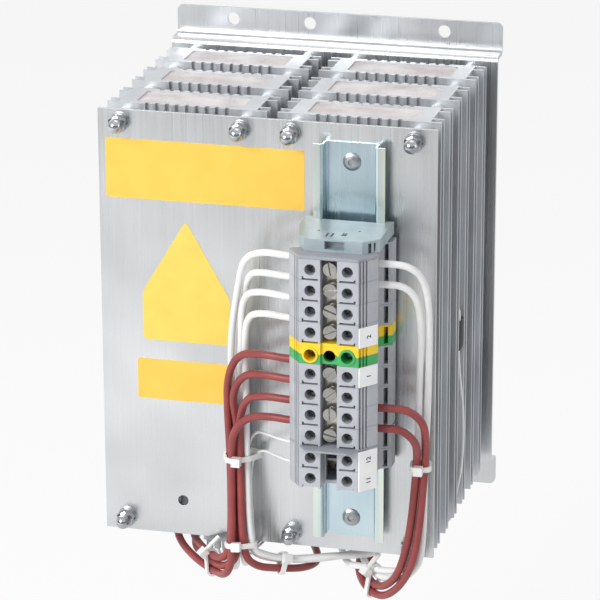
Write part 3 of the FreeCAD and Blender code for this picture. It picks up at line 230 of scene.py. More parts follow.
# %% [markdown]
# ## Extruded aluminium, rail, rods and small metal
#
# The resistor bodies are mill-finish extrusions: silvery, with long die lines along their
# length.  The top-hat rail is zinc plated with a thin bluish film that turns pale yellow where
# it is thicker, on the lips.  Rods, washers and nuts are plated steel, and the cap nuts are
# bright.

# %% Other metals
extruded_aluminium = brushed_metal(
    "aluminium_extruded", "#C8CBCF", "#E4E7EA", 0.48, spacing=1.1, length=150, cloud=40)
sleeve_aluminium = brushed_metal(
    "aluminium_turned", "#BFC2C6", "#D6D8DB", 0.32, spacing=5, length=0.8)
zinc_steel = brushed_metal(
    "steel_zinc_plated", "#B7BABD", "#CFD2D4", 0.30, spacing=2.0, length=3.0, cloud=6)
dull_steel = brushed_metal(
    "steel_rivet_dull", "#9B9FA3", "#BABEC2", 0.36, spacing=1.5, length=2.0, cloud=5)
bright_nuts = brushed_metal(
    "nickel_bright_plated", "#A7AAAF", "#C9CCD0", 0.09,
    spacing=3.0, length=3.0, cloud=9, relief=0.01)
screw_nickel = brushed_metal(
    "screw_nickel_plated", "#8D8C89", "#B9B7B2", 0.22,
    spacing=4.0, length=4.0, cloud=12, relief=0.0)
# Clamp steel: a steel grey, darkened further as painted shade for the screw holes the clamps sit
# in.
clamp_steel_dark_as_shade = brushed_metal(
    "clamp_steel_darkened_as_shade", "#5E6062", "#86888A", 0.30, spacing=1.0, length=1.0, cloud=4)
tinned_copper = brushed_metal(
    "copper_tinned", "#B8B4AA", "#D2CEC4", 0.33, spacing=0.8, length=6.0, cloud=8)

YELLOW_FROM, YELLOW_TO = 12.5, 17.5  # millimetres from the rail's middle


def place_mm(tree):
    """The three object coordinates in millimetres, each as a socket."""
    return add(tree, "ShaderNodeSeparateXYZ", Vector=place(tree, (1 / MM,) * 3)).outputs


def zinc_rail():
    """Zinc plating, bluish on the channel and faintly yellow towards the lips."""
    material = brushed_metal(
        "steel_zinc_blue", "#B9CED7", "#D2E3EA", 0.24,
        spacing=1.2, length=90, cloud=30, relief=0.005)
    tree = material.node_tree
    shader = tree.nodes["Principled BSDF"]
    blue = shader.inputs["Base Color"].links[0].from_socket
    x = place_mm(tree)[0]
    side = add(tree, "ShaderNodeMath", {"operation": "SUBTRACT"}, _0=x, _1=RAIL_X / MM)
    away = add(tree, "ShaderNodeMath", {"operation": "ABSOLUTE"}, _0=side.outputs[0])
    lip = add(tree, "ShaderNodeMapRange", Value=away.outputs[0], _1=YELLOW_FROM, _2=YELLOW_TO)
    tint = add(tree, "ShaderNodeMix", {"data_type": "RGBA"}, Factor=lip.outputs[0],
               _6=blue, _7=linear("#E4E9DC"))
    tree.links.new(tint.outputs[2], shader.inputs["Base Color"])
    return material


rail_zinc = zinc_rail()
print("metals:", len(bpy.data.materials))

# %% [markdown]
# ## Cement
#
# The chambers are closed with a pale cement that is poured and struck off.  It is dry and
# grainy, with a warm pinkish tint, small pits and darker damp-looking patches.  The sand is
# drawn at 1.2 mm and the pits at 2.2 mm, coarser than they are, so that both show.

# %% Cast cement
GRAIN, PIT, PATCH = 1.2, 2.2, 14     # sizes in millimetres


def cast_cement():
    """Grainy cement with pits and soft patches."""
    material, tree, shader = new_material("cement_cast", "#D9CFCB", 0.85)
    grain = add(tree, "ShaderNodeTexNoise", Vector=place(tree), Scale=per_mm(GRAIN),
                Detail=6.0, Roughness=0.7).outputs[0]
    patch = add(tree, "ShaderNodeTexNoise", Vector=place(tree), Scale=per_mm(PATCH), Detail=3.0)
    pits = add(tree, "ShaderNodeTexVoronoi", Vector=place(tree), Scale=per_mm(PIT))
    mixed = add(tree, "ShaderNodeMath", {"operation": "MULTIPLY_ADD"},
                _0=grain, _1=0.6, _2=patch.outputs[0])
    two_tones(tree, shader, mixed.outputs[0], 0.55, 1.0, "#C6BCBC", "#E9E5E6")
    depth = add(tree, "ShaderNodeMath", {"operation": "MULTIPLY_ADD"},
                _0=pits.outputs[0], _1=0.5, _2=grain)
    bump = add(tree, "ShaderNodeBump", Strength=0.6, Distance=0.3 * MM, Height=depth.outputs[0])
    tree.links.new(bump.outputs[0], shader.inputs["Normal"])
    return material


cement = cast_cement()
print("made", cement.name)

# %% [markdown]
# ## Moulded plastic
#
# Terminal blocks are moulded from nylon with a finely eroded surface: even grey, a soft sheen
# and hardly any reflection.  The grain of the mould is about 0.1 mm and is drawn at 0.5 mm.
# The same recipe in other colours gives the covers, the tags, the cable ties and the switch.

# %% Plastics
TONE_SIZE = 9    # millimetres from one slight change of tone to the next


def moulded_plastic(name, low, high, roughness, grain=0.5, relief=0.12):
    """Plastic with slight tone changes and the grain of the mould."""
    material, tree, shader = new_material(name, high, roughness)
    speck = add(tree, "ShaderNodeTexNoise", Vector=place(tree), Scale=per_mm(grain), Detail=2.0)
    tone = add(tree, "ShaderNodeTexNoise", Vector=place(tree), Scale=per_mm(TONE_SIZE), Detail=3.0)
    two_tones(tree, shader, tone.outputs[0], 0.3, 0.7, low, high)
    bump = add(tree, "ShaderNodeBump", Strength=relief, Distance=0.05 * MM,
               Height=speck.outputs[0])
    tree.links.new(bump.outputs[0], shader.inputs["Normal"])
    return material


terminal_grey = moulded_plastic("nylon_moulded_grey", "#ABAEB4", "#B7BAC0", 0.42)
cover_grey = moulded_plastic("nylon_cover_grey", "#9497A0", "#A2A5AD", 0.46)
bracket_grey = moulded_plastic("nylon_bracket_pale", "#98A7AC", "#A8B6BB", 0.34)
tag_white = moulded_plastic("polycarbonate_tag_white", "#ECEDEF", "#F7F7F8", 0.38, relief=0.04)
tie_nylon = moulded_plastic("nylon_natural", "#E3E3E1", "#F1F1EF", 0.34, relief=0.05)
switch_plastic = moulded_plastic("switch_sleeve_clear_grey", "#A9AEB4", "#C2C6CA", 0.30)
switch_dark = moulded_plastic("switch_case_dark", "#141519", "#292B30", 0.6)
print("plastics ready, with", switch_dark.name)

# %% [markdown]
# The earth terminal is moulded in two colours, yellow above and green below.  The border is
# level on the sides.  On the front it curves round the left screw hole, whose ring is all
# yellow, and round the right one, whose ring is all green.  Its middle hole is deep, and the
# shade inside it is painted: the colour turns near black with depth.

# %% Yellow and green plastic
SIDE_HOLE_X = 8.95                   # millimetres from the rail's middle to a screw hole
RING_R, MIDDLE_HOLE_R = 4.0, 3.1
BORDER_DROP = 0.3                    # all drops are below the middle of the block
RING_DROP, MIDDLE_HOLE_DROP = 0.6, 1.2
RING_DEPTH = 14                      # the rings' colour stops this far behind the front
# Painted shade: over this depth in the middle hole the colour turns near black.
HOLE_SHADE_FROM, HOLE_SHADE_TO = 2.0, 5.0        # depth in the middle hole


def two_colour_plastic():
    """Yellow over green, with a ring of either colour and painted shade in the middle hole."""
    material = moulded_plastic("nylon_yellow_green", "#3FA45D", "#48B268", 0.42)
    tree = material.node_tree
    shader = tree.nodes["Principled BSDF"]
    green = shader.inputs["Base Color"].links[0].from_socket
    x, y, z = place_mm(tree)
    on_plate = add(tree, "ShaderNodeCombineXYZ", X=x, Z=z).outputs[0]
    middle = block_z(EARTH_BLOCK) / MM
    front = (FRONT_Y - BLOCK_TOP) / MM

    def inside(offset, drop, radius, limit):
        """1 within a circle round a point of the front and within a limit of depth, else 0."""
        away = add(tree, "ShaderNodeVectorMath", {"operation": "DISTANCE"}, _0=on_plate,
                   _1=(RAIL_X / MM + offset, 0, middle - drop)).outputs["Value"]
        near = add(tree, "ShaderNodeMath", {"operation": "LESS_THAN"}, _0=away, _1=radius)
        return add(tree, "ShaderNodeMath", {"operation": "MULTIPLY"},
                   _0=near.outputs[0], _1=limit).outputs[0]

    above = add(tree, "ShaderNodeMath", {"operation": "GREATER_THAN"},
                _0=z, _1=middle - BORDER_DROP).outputs[0]
    on_front = add(tree, "ShaderNodeMath", {"operation": "LESS_THAN"},
                   _0=y, _1=front + RING_DEPTH).outputs[0]
    left_ring = inside(-SIDE_HOLE_X, RING_DROP, RING_R, on_front)
    right_ring = inside(SIDE_HOLE_X, RING_DROP, RING_R, on_front)
    yellow = add(tree, "ShaderNodeMath", {"operation": "MAXIMUM"}, _0=above, _1=left_ring)
    share = add(tree, "ShaderNodeMath", {"operation": "SUBTRACT", "use_clamp": True},
                _0=yellow.outputs[0], _1=right_ring)
    tint = add(tree, "ShaderNodeMix", {"data_type": "RGBA"}, Factor=share.outputs[0],
               _6=green, _7=linear("#F6D02C"))
    # Painted shade: the middle hole's colour goes to near black (#101812) as it gets deeper.
    depth = add(tree, "ShaderNodeMapRange", Value=y, _1=front + HOLE_SHADE_FROM, _2=front + HOLE_SHADE_TO)
    hole_shade = inside(0, MIDDLE_HOLE_DROP, MIDDLE_HOLE_R, depth.outputs[0])
    painted_hole_shade = add(tree, "ShaderNodeMix", {"data_type": "RGBA"}, Factor=hole_shade,
               _6=tint.outputs[2], _7=linear("#101812"))
    tree.links.new(painted_hole_shade.outputs[2], shader.inputs["Base Color"])
    return material


earth_plastic = two_colour_plastic()
print("made", earth_plastic.name)

# %% [markdown]
# ## Silicone leads, sleeving and stickers
#
# The leads have a silicone jacket, red-brown or white: matte, with a faint bloom.  The
# sleeving at the resistors is varnished glass braid.  The stickers are yellow vinyl.

# %% Soft materials
JACKET_TONE_SIZE, JACKET_GRAIN = 12, 0.8   # millimetres


def silicone(name, low, high, roughness=0.5):
    """Matte jacket with slow tone changes along the lead."""
    material, tree, shader = new_material(name, high, roughness)
    tone = add(tree, "ShaderNodeTexNoise", Vector=place(tree),
               Scale=per_mm(JACKET_TONE_SIZE), Detail=4.0)
    two_tones(tree, shader, tone.outputs[0], 0.3, 0.7, low, high)
    fine = add(tree, "ShaderNodeTexNoise", Vector=place(tree),
               Scale=per_mm(JACKET_GRAIN), Detail=2.0)
    bump = add(tree, "ShaderNodeBump", Strength=0.08, Distance=0.1 * MM, Height=fine.outputs[0])
    tree.links.new(bump.outputs[0], shader.inputs["Normal"])
    return material


silicone_red = silicone("silicone_red_brown", "#883A3A", "#9B4645", 0.42)
silicone_white = silicone("silicone_white", "#E4E4E4", "#F0F0F0")
glass_sleeving = silicone("glass_braid_varnished", "#CFCFCB", "#DEDEDA", 0.6)
vinyl_amber = silicone("vinyl_amber", "#F0C24C", "#F5C956", 0.40)
vinyl_yellow = silicone("vinyl_yellow", "#E8CA58", "#EDD161", 0.40)
print("materials:", len(bpy.data.materials))

# %% [markdown]
# ## Dress the CAD nodes
#
# A node whose shape is already right only needs its material.  The table is read from top to
# bottom: the first word that a node's name starts with decides.

# %% Materials on the solids
FINISHES = [
    ("back_plate", stainless_sheet), ("front_plate", stainless_sheet),
    ("heatsink", extruded_aluminium), ("resistor_core", cement),
    ("spacer_sleeves", sleeve_aluminium), ("cap_nuts", bright_nuts), ("tie_rods", zinc_steel),
    ("flat_washers", zinc_steel), ("spring_washers", zinc_steel), ("rear_nuts", zinc_steel),
    ("rail_rivets", dull_steel), ("din_rail", rail_zinc), ("terminal_", terminal_grey),
    ("earth_terminal", earth_plastic), ("end_cover", cover_grey),
    ("partition_plate", cover_grey), ("end_bracket", bracket_grey),
    ("current_bars", tinned_copper), ("bridge_bars", tinned_copper), ("clamp_", clamp_steel_dark_as_shade),
    ("bridge_screws", screw_nickel), ("marker_tags", tag_white),
    ("lead_sleeves", glass_sleeving), ("lead_red", silicone_red),
    ("lead_white", silicone_white), ("sensor_lead", silicone_white),
    ("thermal_switch", switch_plastic), ("cable_ties", tie_nylon)]


def finish_for(name):
    """Material of the first word that a node's name starts with."""
    return next(material for start, material in FINISHES if name.startswith(start))


for name, node in nodes.items():
    node.data.materials.clear()
    node.data.materials.append(finish_for(name))
print("dressed", len(nodes), "nodes")

# %% [markdown]
# ## Softened edges
#
# A moulded or pressed edge is never sharp: its small radius catches the light as a thin line,
# and that line is what makes a render look real.  The CAD meshes stay as they are, so a copy
# is merged, its flat faces are joined, and a Bevel modifier rounds its edges.  Weighted normals
# then let the large faces decide the shading, so that these look flat beside the rounded
# edges.  The copy then stands for the CAD node.

# %% Bevelled copies
PLASTIC_EDGE, SHEET_EDGE = 0.18 * MM, 0.15 * MM
EDGE_STEPS = 2
SAME_POINT = 0.002 * MM
FLAT_ANGLE = math.radians(1)
SHARP_ANGLE = math.radians(40)       # edges sharper than this are rounded
SMOOTH_ANGLE = math.radians(35)      # faces are shaded as one up to this angle


def softened(name, width):
    """Copy of a CAD node with rounded edges, which replaces it; gives back its face count."""
    source = nodes[name]
    piece = source.copy()
    piece.data = source.data.copy()
    piece.name = name + "_soft"
    piece.parent = None
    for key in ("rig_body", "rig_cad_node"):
        del piece[key]
    bpy.context.collection.objects.link(piece)
    bpy.ops.object.select_all(action="DESELECT")
    piece.select_set(True)
    bpy.context.view_layer.objects.active = piece
    bpy.ops.object.mode_set(mode="EDIT")
    bpy.ops.mesh.select_all(action="SELECT")
    bpy.ops.mesh.remove_doubles(threshold=SAME_POINT)
    bpy.ops.mesh.dissolve_limited(angle_limit=FLAT_ANGLE)
    bpy.ops.object.mode_set(mode="OBJECT")
    bevel = piece.modifiers.new("edges", "BEVEL")
    bevel.width = width
    bevel.segments = EDGE_STEPS
    bevel.limit_method = "ANGLE"
    bevel.angle_limit = SHARP_ANGLE
    bpy.ops.object.modifier_apply(modifier=bevel.name)
    bpy.ops.object.shade_smooth_by_angle(angle=SMOOTH_ANGLE)
    weighted = piece.modifiers.new("flat faces stay flat", "WEIGHTED_NORMAL")
    weighted.keep_sharp = True
    bpy.ops.object.modifier_apply(modifier=weighted.name)
    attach(piece, "root")
    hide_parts(name)
    return len(piece.data.polygons)


plastic_nodes = [name for name in nodes if name.startswith("terminal_")]
plastic_nodes += ["earth_terminal", "end_cover", "partition_plate", "end_bracket", "marker_tags"]
sheet_nodes = ["front_plate", "back_plate"]
soft_faces = sum(softened(name, PLASTIC_EDGE) for name in sorted(plastic_nodes))
soft_faces += sum(softened(name, SHEET_EDGE) for name in sheet_nodes)
print("softened", len(plastic_nodes) + len(sheet_nodes), "nodes,", soft_faces, "faces")

# %% [markdown]
# ## Leads
#
# A lead is a round jacket along a smooth route.  A NURBS curve with the route's points as its
# control points bends as evenly as real silicone does, and its bevel gives the thickness.
# Every lead starts level inside its clamp, leaves the block, leans into a bundle, goes round
# the lower edge of the front plate and rises into a resistor.

# %% Routes of the leads
LEVEL_X = {"left": (35.85, 20.5), "right": (49.15, 64.5)}    # from the clamp to outside the block
ENTRY_Y = -174.8
ROW_Y = (-119.4, -79.4, -39.4)
EXIT_X = (-55.0, -30.0, 30.0, 55.0)
LEAD_END_Z = -107.7
EXIT_DROP = 9.2


def level_start(side, block):
    """First run of a lead, level from the clamp through the block's wall."""
    return [(x, ENTRY_Y, block_z(block) / MM) for x in LEVEL_X[side]]


def lead_points(side, block, bends, exit_number, row):
    """Whole route: level start, bends, and the upright end in a resistor."""
    x, y = EXIT_X[exit_number], ROW_Y[row]
    upright_end = [(x, y, LEAD_END_Z - EXIT_DROP), (x, y, LEAD_END_Z)]
    return level_start(side, block) + bends + upright_end


# Diameter, side, block, bends, number of the exit in x, number of the row
LEADS = {
    "lead_white_left_1": (3.4, "left", 1, [
        (5.5, -174.2, 52.2), (-5.2, -168.5, 46.0), (-9.8, -162.0, 28.0), (-14.6, -156.4, 6.0),
        (-16.2, -152.6, -16.0), (-15.5, -151.1, -61.0), (-12.3, -160.9, -106.5),
        (-13.4, -155.0, -117.5), (-18.0, -142.5, -125.5), (-26.0, -129.0, -128.0)], 1, 0),
    "lead_white_left_2": (3.4, "left", 2, [
        (6.0, -173.6, 41.6), (-3.5, -165.0, 37.5), (-8.6, -156.6, 20.0), (-12.0, -152.2, -2.0),
        (-12.8, -150.2, -24.0), (-12.0, -150.1, -61.0), (-8.8, -160.4, -107.5),
        (-9.6, -153.5, -118.0), (-14.0, -135.0, -124.0), (-23.0, -108.0, -122.5),
        (-28.0, -90.0, -126.0)], 1, 1),
    "lead_white_left_3": (3.4, "left", 3, [
        (5.0, -173.0, 31.8), (-5.6, -166.5, 27.5), (-9.0, -160.4, 8.0), (-9.6, -154.4, -16.0),
        (-8.8, -151.9, -61.0), (-5.4, -160.7, -107.0), (0.0, -153.5, -113.2),
        (8.0, -147.2, -116.2), (18.0, -141.2, -117.8), (32.0, -134.0, -118.0),
        (45.0, -118.0, -118.5), (52.0, -97.0, -123.0)], 3, 1),
    "lead_white_left_4": (3.4, "left", 4, [
        (5.5, -173.0, 21.2), (-4.2, -166.6, 16.5), (-6.6, -161.4, -2.0), (-7.2, -157.6, -24.0),
        (-7.8, -155.3, -61.0), (-4.2, -164.6, -104.5), (2.0, -157.2, -110.4),
        (8.6, -150.6, -114.2), (18.0, -144.8, -115.6), (32.0, -137.6, -115.6),
        (45.0, -128.5, -118.0)], 3, 0),
    "lead_red_left_1": (3.8, "left", 6, [
        (5.0, -172.6, 0.1), (-9.0, -165.0, -3.5), (-16.4, -158.8, -18.0), (-17.2, -155.8, -38.0),
        (-16.0, -155.5, -61.0), (-13.3, -164.6, -105.0), (-19.5, -161.5, -113.5),
        (-30.5, -148.5, -115.8), (-44.0, -128.0, -116.5), (-50.0, -104.0, -118.5),
        (-54.0, -90.0, -121.5)], 0, 1),
    "lead_red_left_2": (3.8, "left", 7, [
        (6.5, -172.6, -10.2), (-6.0, -166.0, -13.1), (-14.0, -160.0, -26.0),
        (-12.4, -155.4, -44.0), (-12.0, -154.3, -61.0), (-9.0, -164.4, -107.5),
        (-17.0, -163.0, -117.0),
        (-29.0, -148.8, -119.8), (-44.0, -128.5, -121.0), (-48.0, -98.0, -122.5),
        (-48.5, -68.0, -123.5), (-53.0, -50.0, -126.0)], 0, 2),
    "lead_red_left_3": (3.8, "left", 8, [
        (6.0, -172.4, -21.1), (-5.0, -166.0, -25.2), (-10.2, -160.4, -40.0),
        (-10.4, -158.0, -61.0), (-7.0, -167.8, -106.0), (-2.6, -160.0, -115.8),
        (6.5, -151.8, -119.2), (18.0, -141.0, -122.5), (21.0, -122.0, -125.5),
        (8.0, -94.0, -125.0), (-12.0, -66.0, -124.0), (-25.0, -49.0, -126.5)], 1, 2),
    "lead_red_left_4": (3.8, "left", 9, [
        (7.0, -172.2, -31.4), (-4.0, -167.6, -34.8), (-12.4, -164.8, -44.0),
        (-14.4, -159.3, -61.0), (-11.6, -168.9, -108.5), (-15.5, -166.8, -119.5),
        (-26.5, -152.0, -123.8), (-38.0, -141.0, -123.6), (-50.0, -127.5, -121.6)], 0, 0),
    "lead_white_right_1": (3.4, "right", 1, [
        (76.5, -172.6, 50.0), (83.0, -166.4, 41.0), (83.4, -159.0, 20.0), (82.2, -153.6, -4.0),
        (81.4, -152.0, -30.0), (80.2, -152.3, -60.0), (81.0, -157.6, -98.0),
        (77.8, -155.8, -110.5), (68.0, -151.4, -119.4), (57.0, -143.5, -122.5),
        (46.0, -130.0, -122.9), (37.0, -106.0, -122.8), (32.5, -90.0, -125.5)], 2, 1),
    "lead_white_right_2": (3.4, "right", 2, [
        (74.0, -172.2, 39.8), (79.6, -166.0, 31.0), (79.4, -158.6, 10.0), (77.8, -154.2, -10.0),
        (77.2, -152.8, -34.0), (76.6, -152.8, -60.0), (77.1, -159.1, -99.0),
        (72.0, -156.0, -112.0), (63.0, -148.6, -116.2), (55.0, -142.0, -119.0),
        (46.0, -136.0, -120.4), (36.0, -128.0, -124.2)], 2, 0),
    "lead_red_right_1": (3.8, "right", 8, [
        (76.0, -172.4, -21.7), (83.0, -165.6, -30.5), (82.2, -158.4, -46.0),
        (81.0, -156.2, -61.0), (79.9, -161.6, -88.0), (76.6, -162.6, -106.5),
        (68.5, -155.0, -122.0), (57.5, -146.8, -132.0), (46.0, -136.0, -130.5),
        (38.0, -116.0, -127.8), (38.0, -84.0, -127.2), (33.5, -54.0, -127.5)], 2, 2),
    "lead_red_right_2": (3.8, "right", 9, [
        (73.0, -172.6, -32.0), (79.0, -166.0, -40.5), (78.0, -159.0, -51.0),
        (77.0, -156.8, -62.0), (75.6, -161.4, -88.0), (71.6, -161.2, -106.0),
        (65.5, -154.5, -119.0), (56.5, -146.0, -127.0), (47.5, -134.0, -127.2),
        (43.5, -112.0, -126.8), (45.0, -82.0, -125.5), (51.5, -55.0, -127.0)], 3, 2),
}
print("routes:", len(LEADS))

# %% [markdown]
# The CAD model has a thermal switch under the front plate's notch.  Its two thin leads run with
# the left bundle and end in its sleeved tabs.

# %% Routes of the thin leads
THIN_LEAD_D = 1.3
THIN_LEADS = {    # block and bends
    "sensor_lead_1": (10, [
        (9.0, -166.5, -44.2), (-3.0, -153.5, -46.5), (-8.6, -149.2, -55.0), (-9.6, -149.2, -70.0),
        (-6.2, -155.6, -103.5), (-7.6, -150.0, -112.5), (-16.0, -141.5, -117.5),
        (-24.5, -137.0, -122.5), (-28.5, -136.3, -120.5), (-28.5, -136.3, -114.0)]),
    "sensor_lead_2": (11, [
        (9.0, -165.0, -54.0), (-1.0, -153.0, -56.5), (-6.6, -149.2, -63.0), (-7.7, -149.8, -78.0),
        (-4.2, -155.8, -103.5), (-5.6, -149.0, -113.5), (-15.0, -139.0, -119.5),
        (-27.0, -135.5, -126.5), (-32.5, -136.3, -121.0), (-32.5, -136.3, -114.0)]),
}
print("thin routes:", len(THIN_LEADS))

# %% [markdown]
# A curve of order 3 stays close to its points and still has no kink.  Its material comes from
# the table of finishes, by the name of the CAD lead that it stands for.

# %% Cords from the routes
CURVE_ORDER = 3
STEPS_ALONG, ROUNDNESS = 10, 5       # steps in each span; 5 gives a jacket of 14 sides


def round_lead(name, points, diameter, material):
    """Smooth round lead through NURBS control points given in millimetres."""
    curve = bpy.data.curves.new(name, "CURVE")
    curve.dimensions = "3D"
    spline = curve.splines.new("NURBS")
    spline.points.add(len(points) - 1)
    for point, spot in zip(spline.points, points):
        point.co = (*(Vector(spot) * MM), 1)
    spline.order_u = CURVE_ORDER
    spline.use_endpoint_u = True
    curve.resolution_u = STEPS_ALONG
    curve.bevel_depth = diameter / 2 * MM
    curve.bevel_resolution = ROUNDNESS
    curve.use_fill_caps = True
    curve.materials.append(material)
    piece = bpy.data.objects.new(name, curve)
    bpy.context.collection.objects.link(piece)
    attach(piece, "root")
    return piece


def cord(name, points, diameter):
    """Lead that stands for the CAD lead of the same name, in the same material."""
    piece = round_lead(name + "_cord", points, diameter, finish_for(name))
    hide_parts(name)


for name, (diameter, *route) in LEADS.items():
    cord(name, lead_points(*route), diameter)
for name, (block, bends) in THIN_LEADS.items():
    cord(name, level_start("left", block) + bends, THIN_LEAD_D)
print("cords:", len(LEADS) + len(THIN_LEADS))

# %% [markdown]
# ## Switch on the right side
#
# The photograph shows a small dark switch body in the side channel of the right middle
# resistor, with a thin white lead that bows out of the channel below it.  The other lead leaves
# the switch at the top and turns down behind a fin.  Both run under the resistors, in the gap
# between the rows, and join the thin leads of the left bundle.  The CAD model lacks this
# switch, so it is made here, as a box with rounded edges.

# %% Side switch and its leads
SIDE_SWITCH_LOW = Vector((77.0, -81.3, -23.5)) * MM
SIDE_SWITCH_HIGH = Vector((82.2, -74.1, -8.0)) * MM
SIDE_SWITCH_EDGE, SIDE_SWITCH_STEPS = 0.4 * MM, 3
bpy.ops.mesh.primitive_cube_add(size=1, location=(SIDE_SWITCH_LOW + SIDE_SWITCH_HIGH) / 2)
side_switch = bpy.context.object
side_switch.name = "side_switch"
side_switch.scale = SIDE_SWITCH_HIGH - SIDE_SWITCH_LOW
bpy.ops.object.transform_apply(location=True, scale=True)
rounding = side_switch.modifiers.new("moulded edges", "BEVEL")
rounding.width = SIDE_SWITCH_EDGE
rounding.segments = SIDE_SWITCH_STEPS
bpy.ops.object.modifier_apply(modifier=rounding.name)
bpy.ops.object.shade_smooth_by_angle(angle=SMOOTH_ANGLE)
side_switch.data.materials.append(switch_dark)
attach(side_switch, "root")

SIDE_LEADS = {
    "side_switch_lead_low": [
        (81.0, -79.4, -21.5), (81.0, -79.4, -25.5), (81.8, -78.6, -38.0), (83.9, -77.4, -60.0),
        (83.4, -77.6, -86.0), (80.2, -79.0, -103.0), (79.6, -83.0, -113.0), (77.0, -94.0, -111.4),
        (69.0, -99.4, -110.8), (4.0, -99.4, -110.8), (-4.0, -104.0, -110.9),
        (-5.4, -125.0, -110.9), (-6.6, -148.6, -111.4), (-6.9, -152.8, -108.0)],
    "side_switch_lead_top": [
        (81.2, -79.0, -10.0), (81.4, -79.0, -2.5), (81.0, -83.2, -1.0), (79.6, -83.4, -10.0),
        (79.6, -83.4, -104.0), (79.4, -86.0, -113.4), (75.0, -97.0, -111.4),
        (66.0, -101.6, -110.8), (6.0, -101.6, -110.8), (-2.2, -107.0, -110.9),
        (-3.4, -125.0, -110.9), (-4.7, -148.0, -111.6), (-4.9, -152.4, -108.5)],
}
for name, points in SIDE_LEADS.items():
    round_lead(name, points, THIN_LEAD_D, silicone_white)
print("side switch leads:", len(SIDE_LEADS))

# %% [markdown]
# ## Stickers
#
# Three yellow vinyl stickers sit on the front plate.  They are left bare here.  Each is a flat
# outline, rounded at its corners and given the thickness of vinyl, 0.12 mm.

# %% Sticker shapes
VINYL_T = 0.12 * MM
CORNER_STEPS = 5


def sticker(name, corners, radius, material):
    """Thin sheet on the front plate with rounded corners, from (x, z) corners in millimetres."""
    bpy.ops.mesh.primitive_plane_add(size=1)
    piece = bpy.context.object
    piece.name = name
    mesh = piece.data
    mesh.clear_geometry()
    outline = [(x * MM, FRONT_Y, z * MM) for x, z in corners]
    mesh.from_pydata(outline, [], [list(range(len(outline)))])
    bpy.ops.object.mode_set(mode="EDIT")
    bpy.ops.mesh.select_all(action="SELECT")
    bpy.ops.mesh.bevel(offset=radius * MM, segments=CORNER_STEPS, affect="VERTICES")
    bpy.ops.mesh.select_all(action="SELECT")
    bpy.ops.mesh.extrude_region_move(TRANSFORM_OT_translate={"value": (0, -VINYL_T, 0)})
    bpy.ops.mesh.select_all(action="SELECT")
    bpy.ops.mesh.normals_make_consistent(inside=False)
    bpy.ops.object.mode_set(mode="OBJECT")
    mesh.materials.append(material)
    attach(piece, "root")


STICKERS = {    # corners, radius of the corners, material
    "sticker_upper": (
        [(-79.9, 64.3), (19.1, 64.3), (19.1, 94.1), (-79.9, 94.1)], 1.0, vinyl_amber),
    "sticker_house": (
        [(-62.4, -7.3), (-18.3, -7.3), (-18.3, 16.4), (-40.2, 54.6), (-62.4, 17.4)],
        2.5, vinyl_yellow),
    "sticker_lower": (
        [(-65.6, -38.0), (-18.0, -38.0), (-18.0, -17.2), (-65.6, -17.2)], 1.5, vinyl_amber),
}
for name, shape in STICKERS.items():
    sticker(name, *shape)
print("stickers:", len(STICKERS))

# %% [markdown]
# ## Numbers on the marker tags
#
# Each tag carries a small printed number that reads upwards: the tags are clipped on the
# sloping shoulder of the blocks.  A text object is made a mesh and laid on the tag with one
# matrix, whose columns are the reading direction, the digits' upright and the outward normal.

# %% Printed numbers
SHOULDER_TOP = Vector((14.2, 47.0, 0)) * MM
SHOULDER_LOW = Vector((21.25, 38.0, 0)) * MM
DOWN_THE_TAG = 6.0 * MM              # from the shoulder's top to the digits
TAG_T = 0.8 * MM
INK_T = 0.02 * MM
DIGIT_SIZE = 3.5 * MM
BOLDER = 0.08 * MM                   # what each stroke's edge gains
ink = new_material("ink_dark_grey", "#3A3B3F", 0.5)[0]


def printed_number(text, z):
    """Digits on a tag, in the middle of its width, centred at height z."""
    slope = (SHOULDER_LOW - SHOULDER_TOP).normalized()
    across = Vector((slope.x, -slope.y, 0))
    outward = Vector((-slope.y, -slope.x, 0))
    middle = SHOULDER_TOP + slope * DOWN_THE_TAG
    spot = Vector((RAIL_X + middle.x, FRONT_Y - middle.y, z)) + outward * (TAG_T + INK_T)
    bpy.ops.object.text_add()
    digits = bpy.context.object
    digits.data.body = text
    digits.data.size = DIGIT_SIZE
    digits.data.align_x = "CENTER"
    digits.data.align_y = "CENTER"
    digits.data.extrude = INK_T
    digits.data.offset = BOLDER
    bpy.ops.object.convert(target="MESH")
    piece = bpy.context.object
    piece.name = "number_" + text
    axes = Matrix((Vector((0, 0, 1)), -across, outward)).transposed().to_4x4()
    piece.data.transform(Matrix.Translation(spot) @ axes)
    piece.data.materials.append(ink)
    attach(piece, "root")


LOWER_2 = 1.0 * MM                   # the 2 sits a little low on its tag
NUMBERS = {"2": block_z(4) - LOWER_2, "1": block_z(6), "12": block_z(10), "11": block_z(11)}
for text, z in NUMBERS.items():
    printed_number(text, z)
print("numbers printed:", len(NUMBERS))

# %% [markdown]
# ## Studio
#
# The photograph is a cut-out on white, so the floor and the world look white to the camera.
# Metal shows what it mirrors, so mirrors see a studio of their own: a white floor that is
# brighter on the left and darker close to the part and far in front of it, and a white world
# with a darker band of room in front, a little above the horizon.  To all other light, floor
# and world are a plain pale floor and a soft even light.

# %% Floor
FLOOR_SIZE, FLOOR_Z = 8, -0.30
SEEN_GLOW = 0.8                      # how much of the floor is plain white to the camera
# Brightness in mirrors: axis, kind of fall, where it starts and ends, brightness at both
FLOOR_FALLS = [
    (0, "LINEAR", -0.6, 0.4, 1.45, 0.82),
    (1, "SMOOTHSTEP", -1.1, -1.6, 1.0, 0.40),
    (1, "SMOOTHSTEP", -0.70, -0.5, 1.0, 0.8),
]


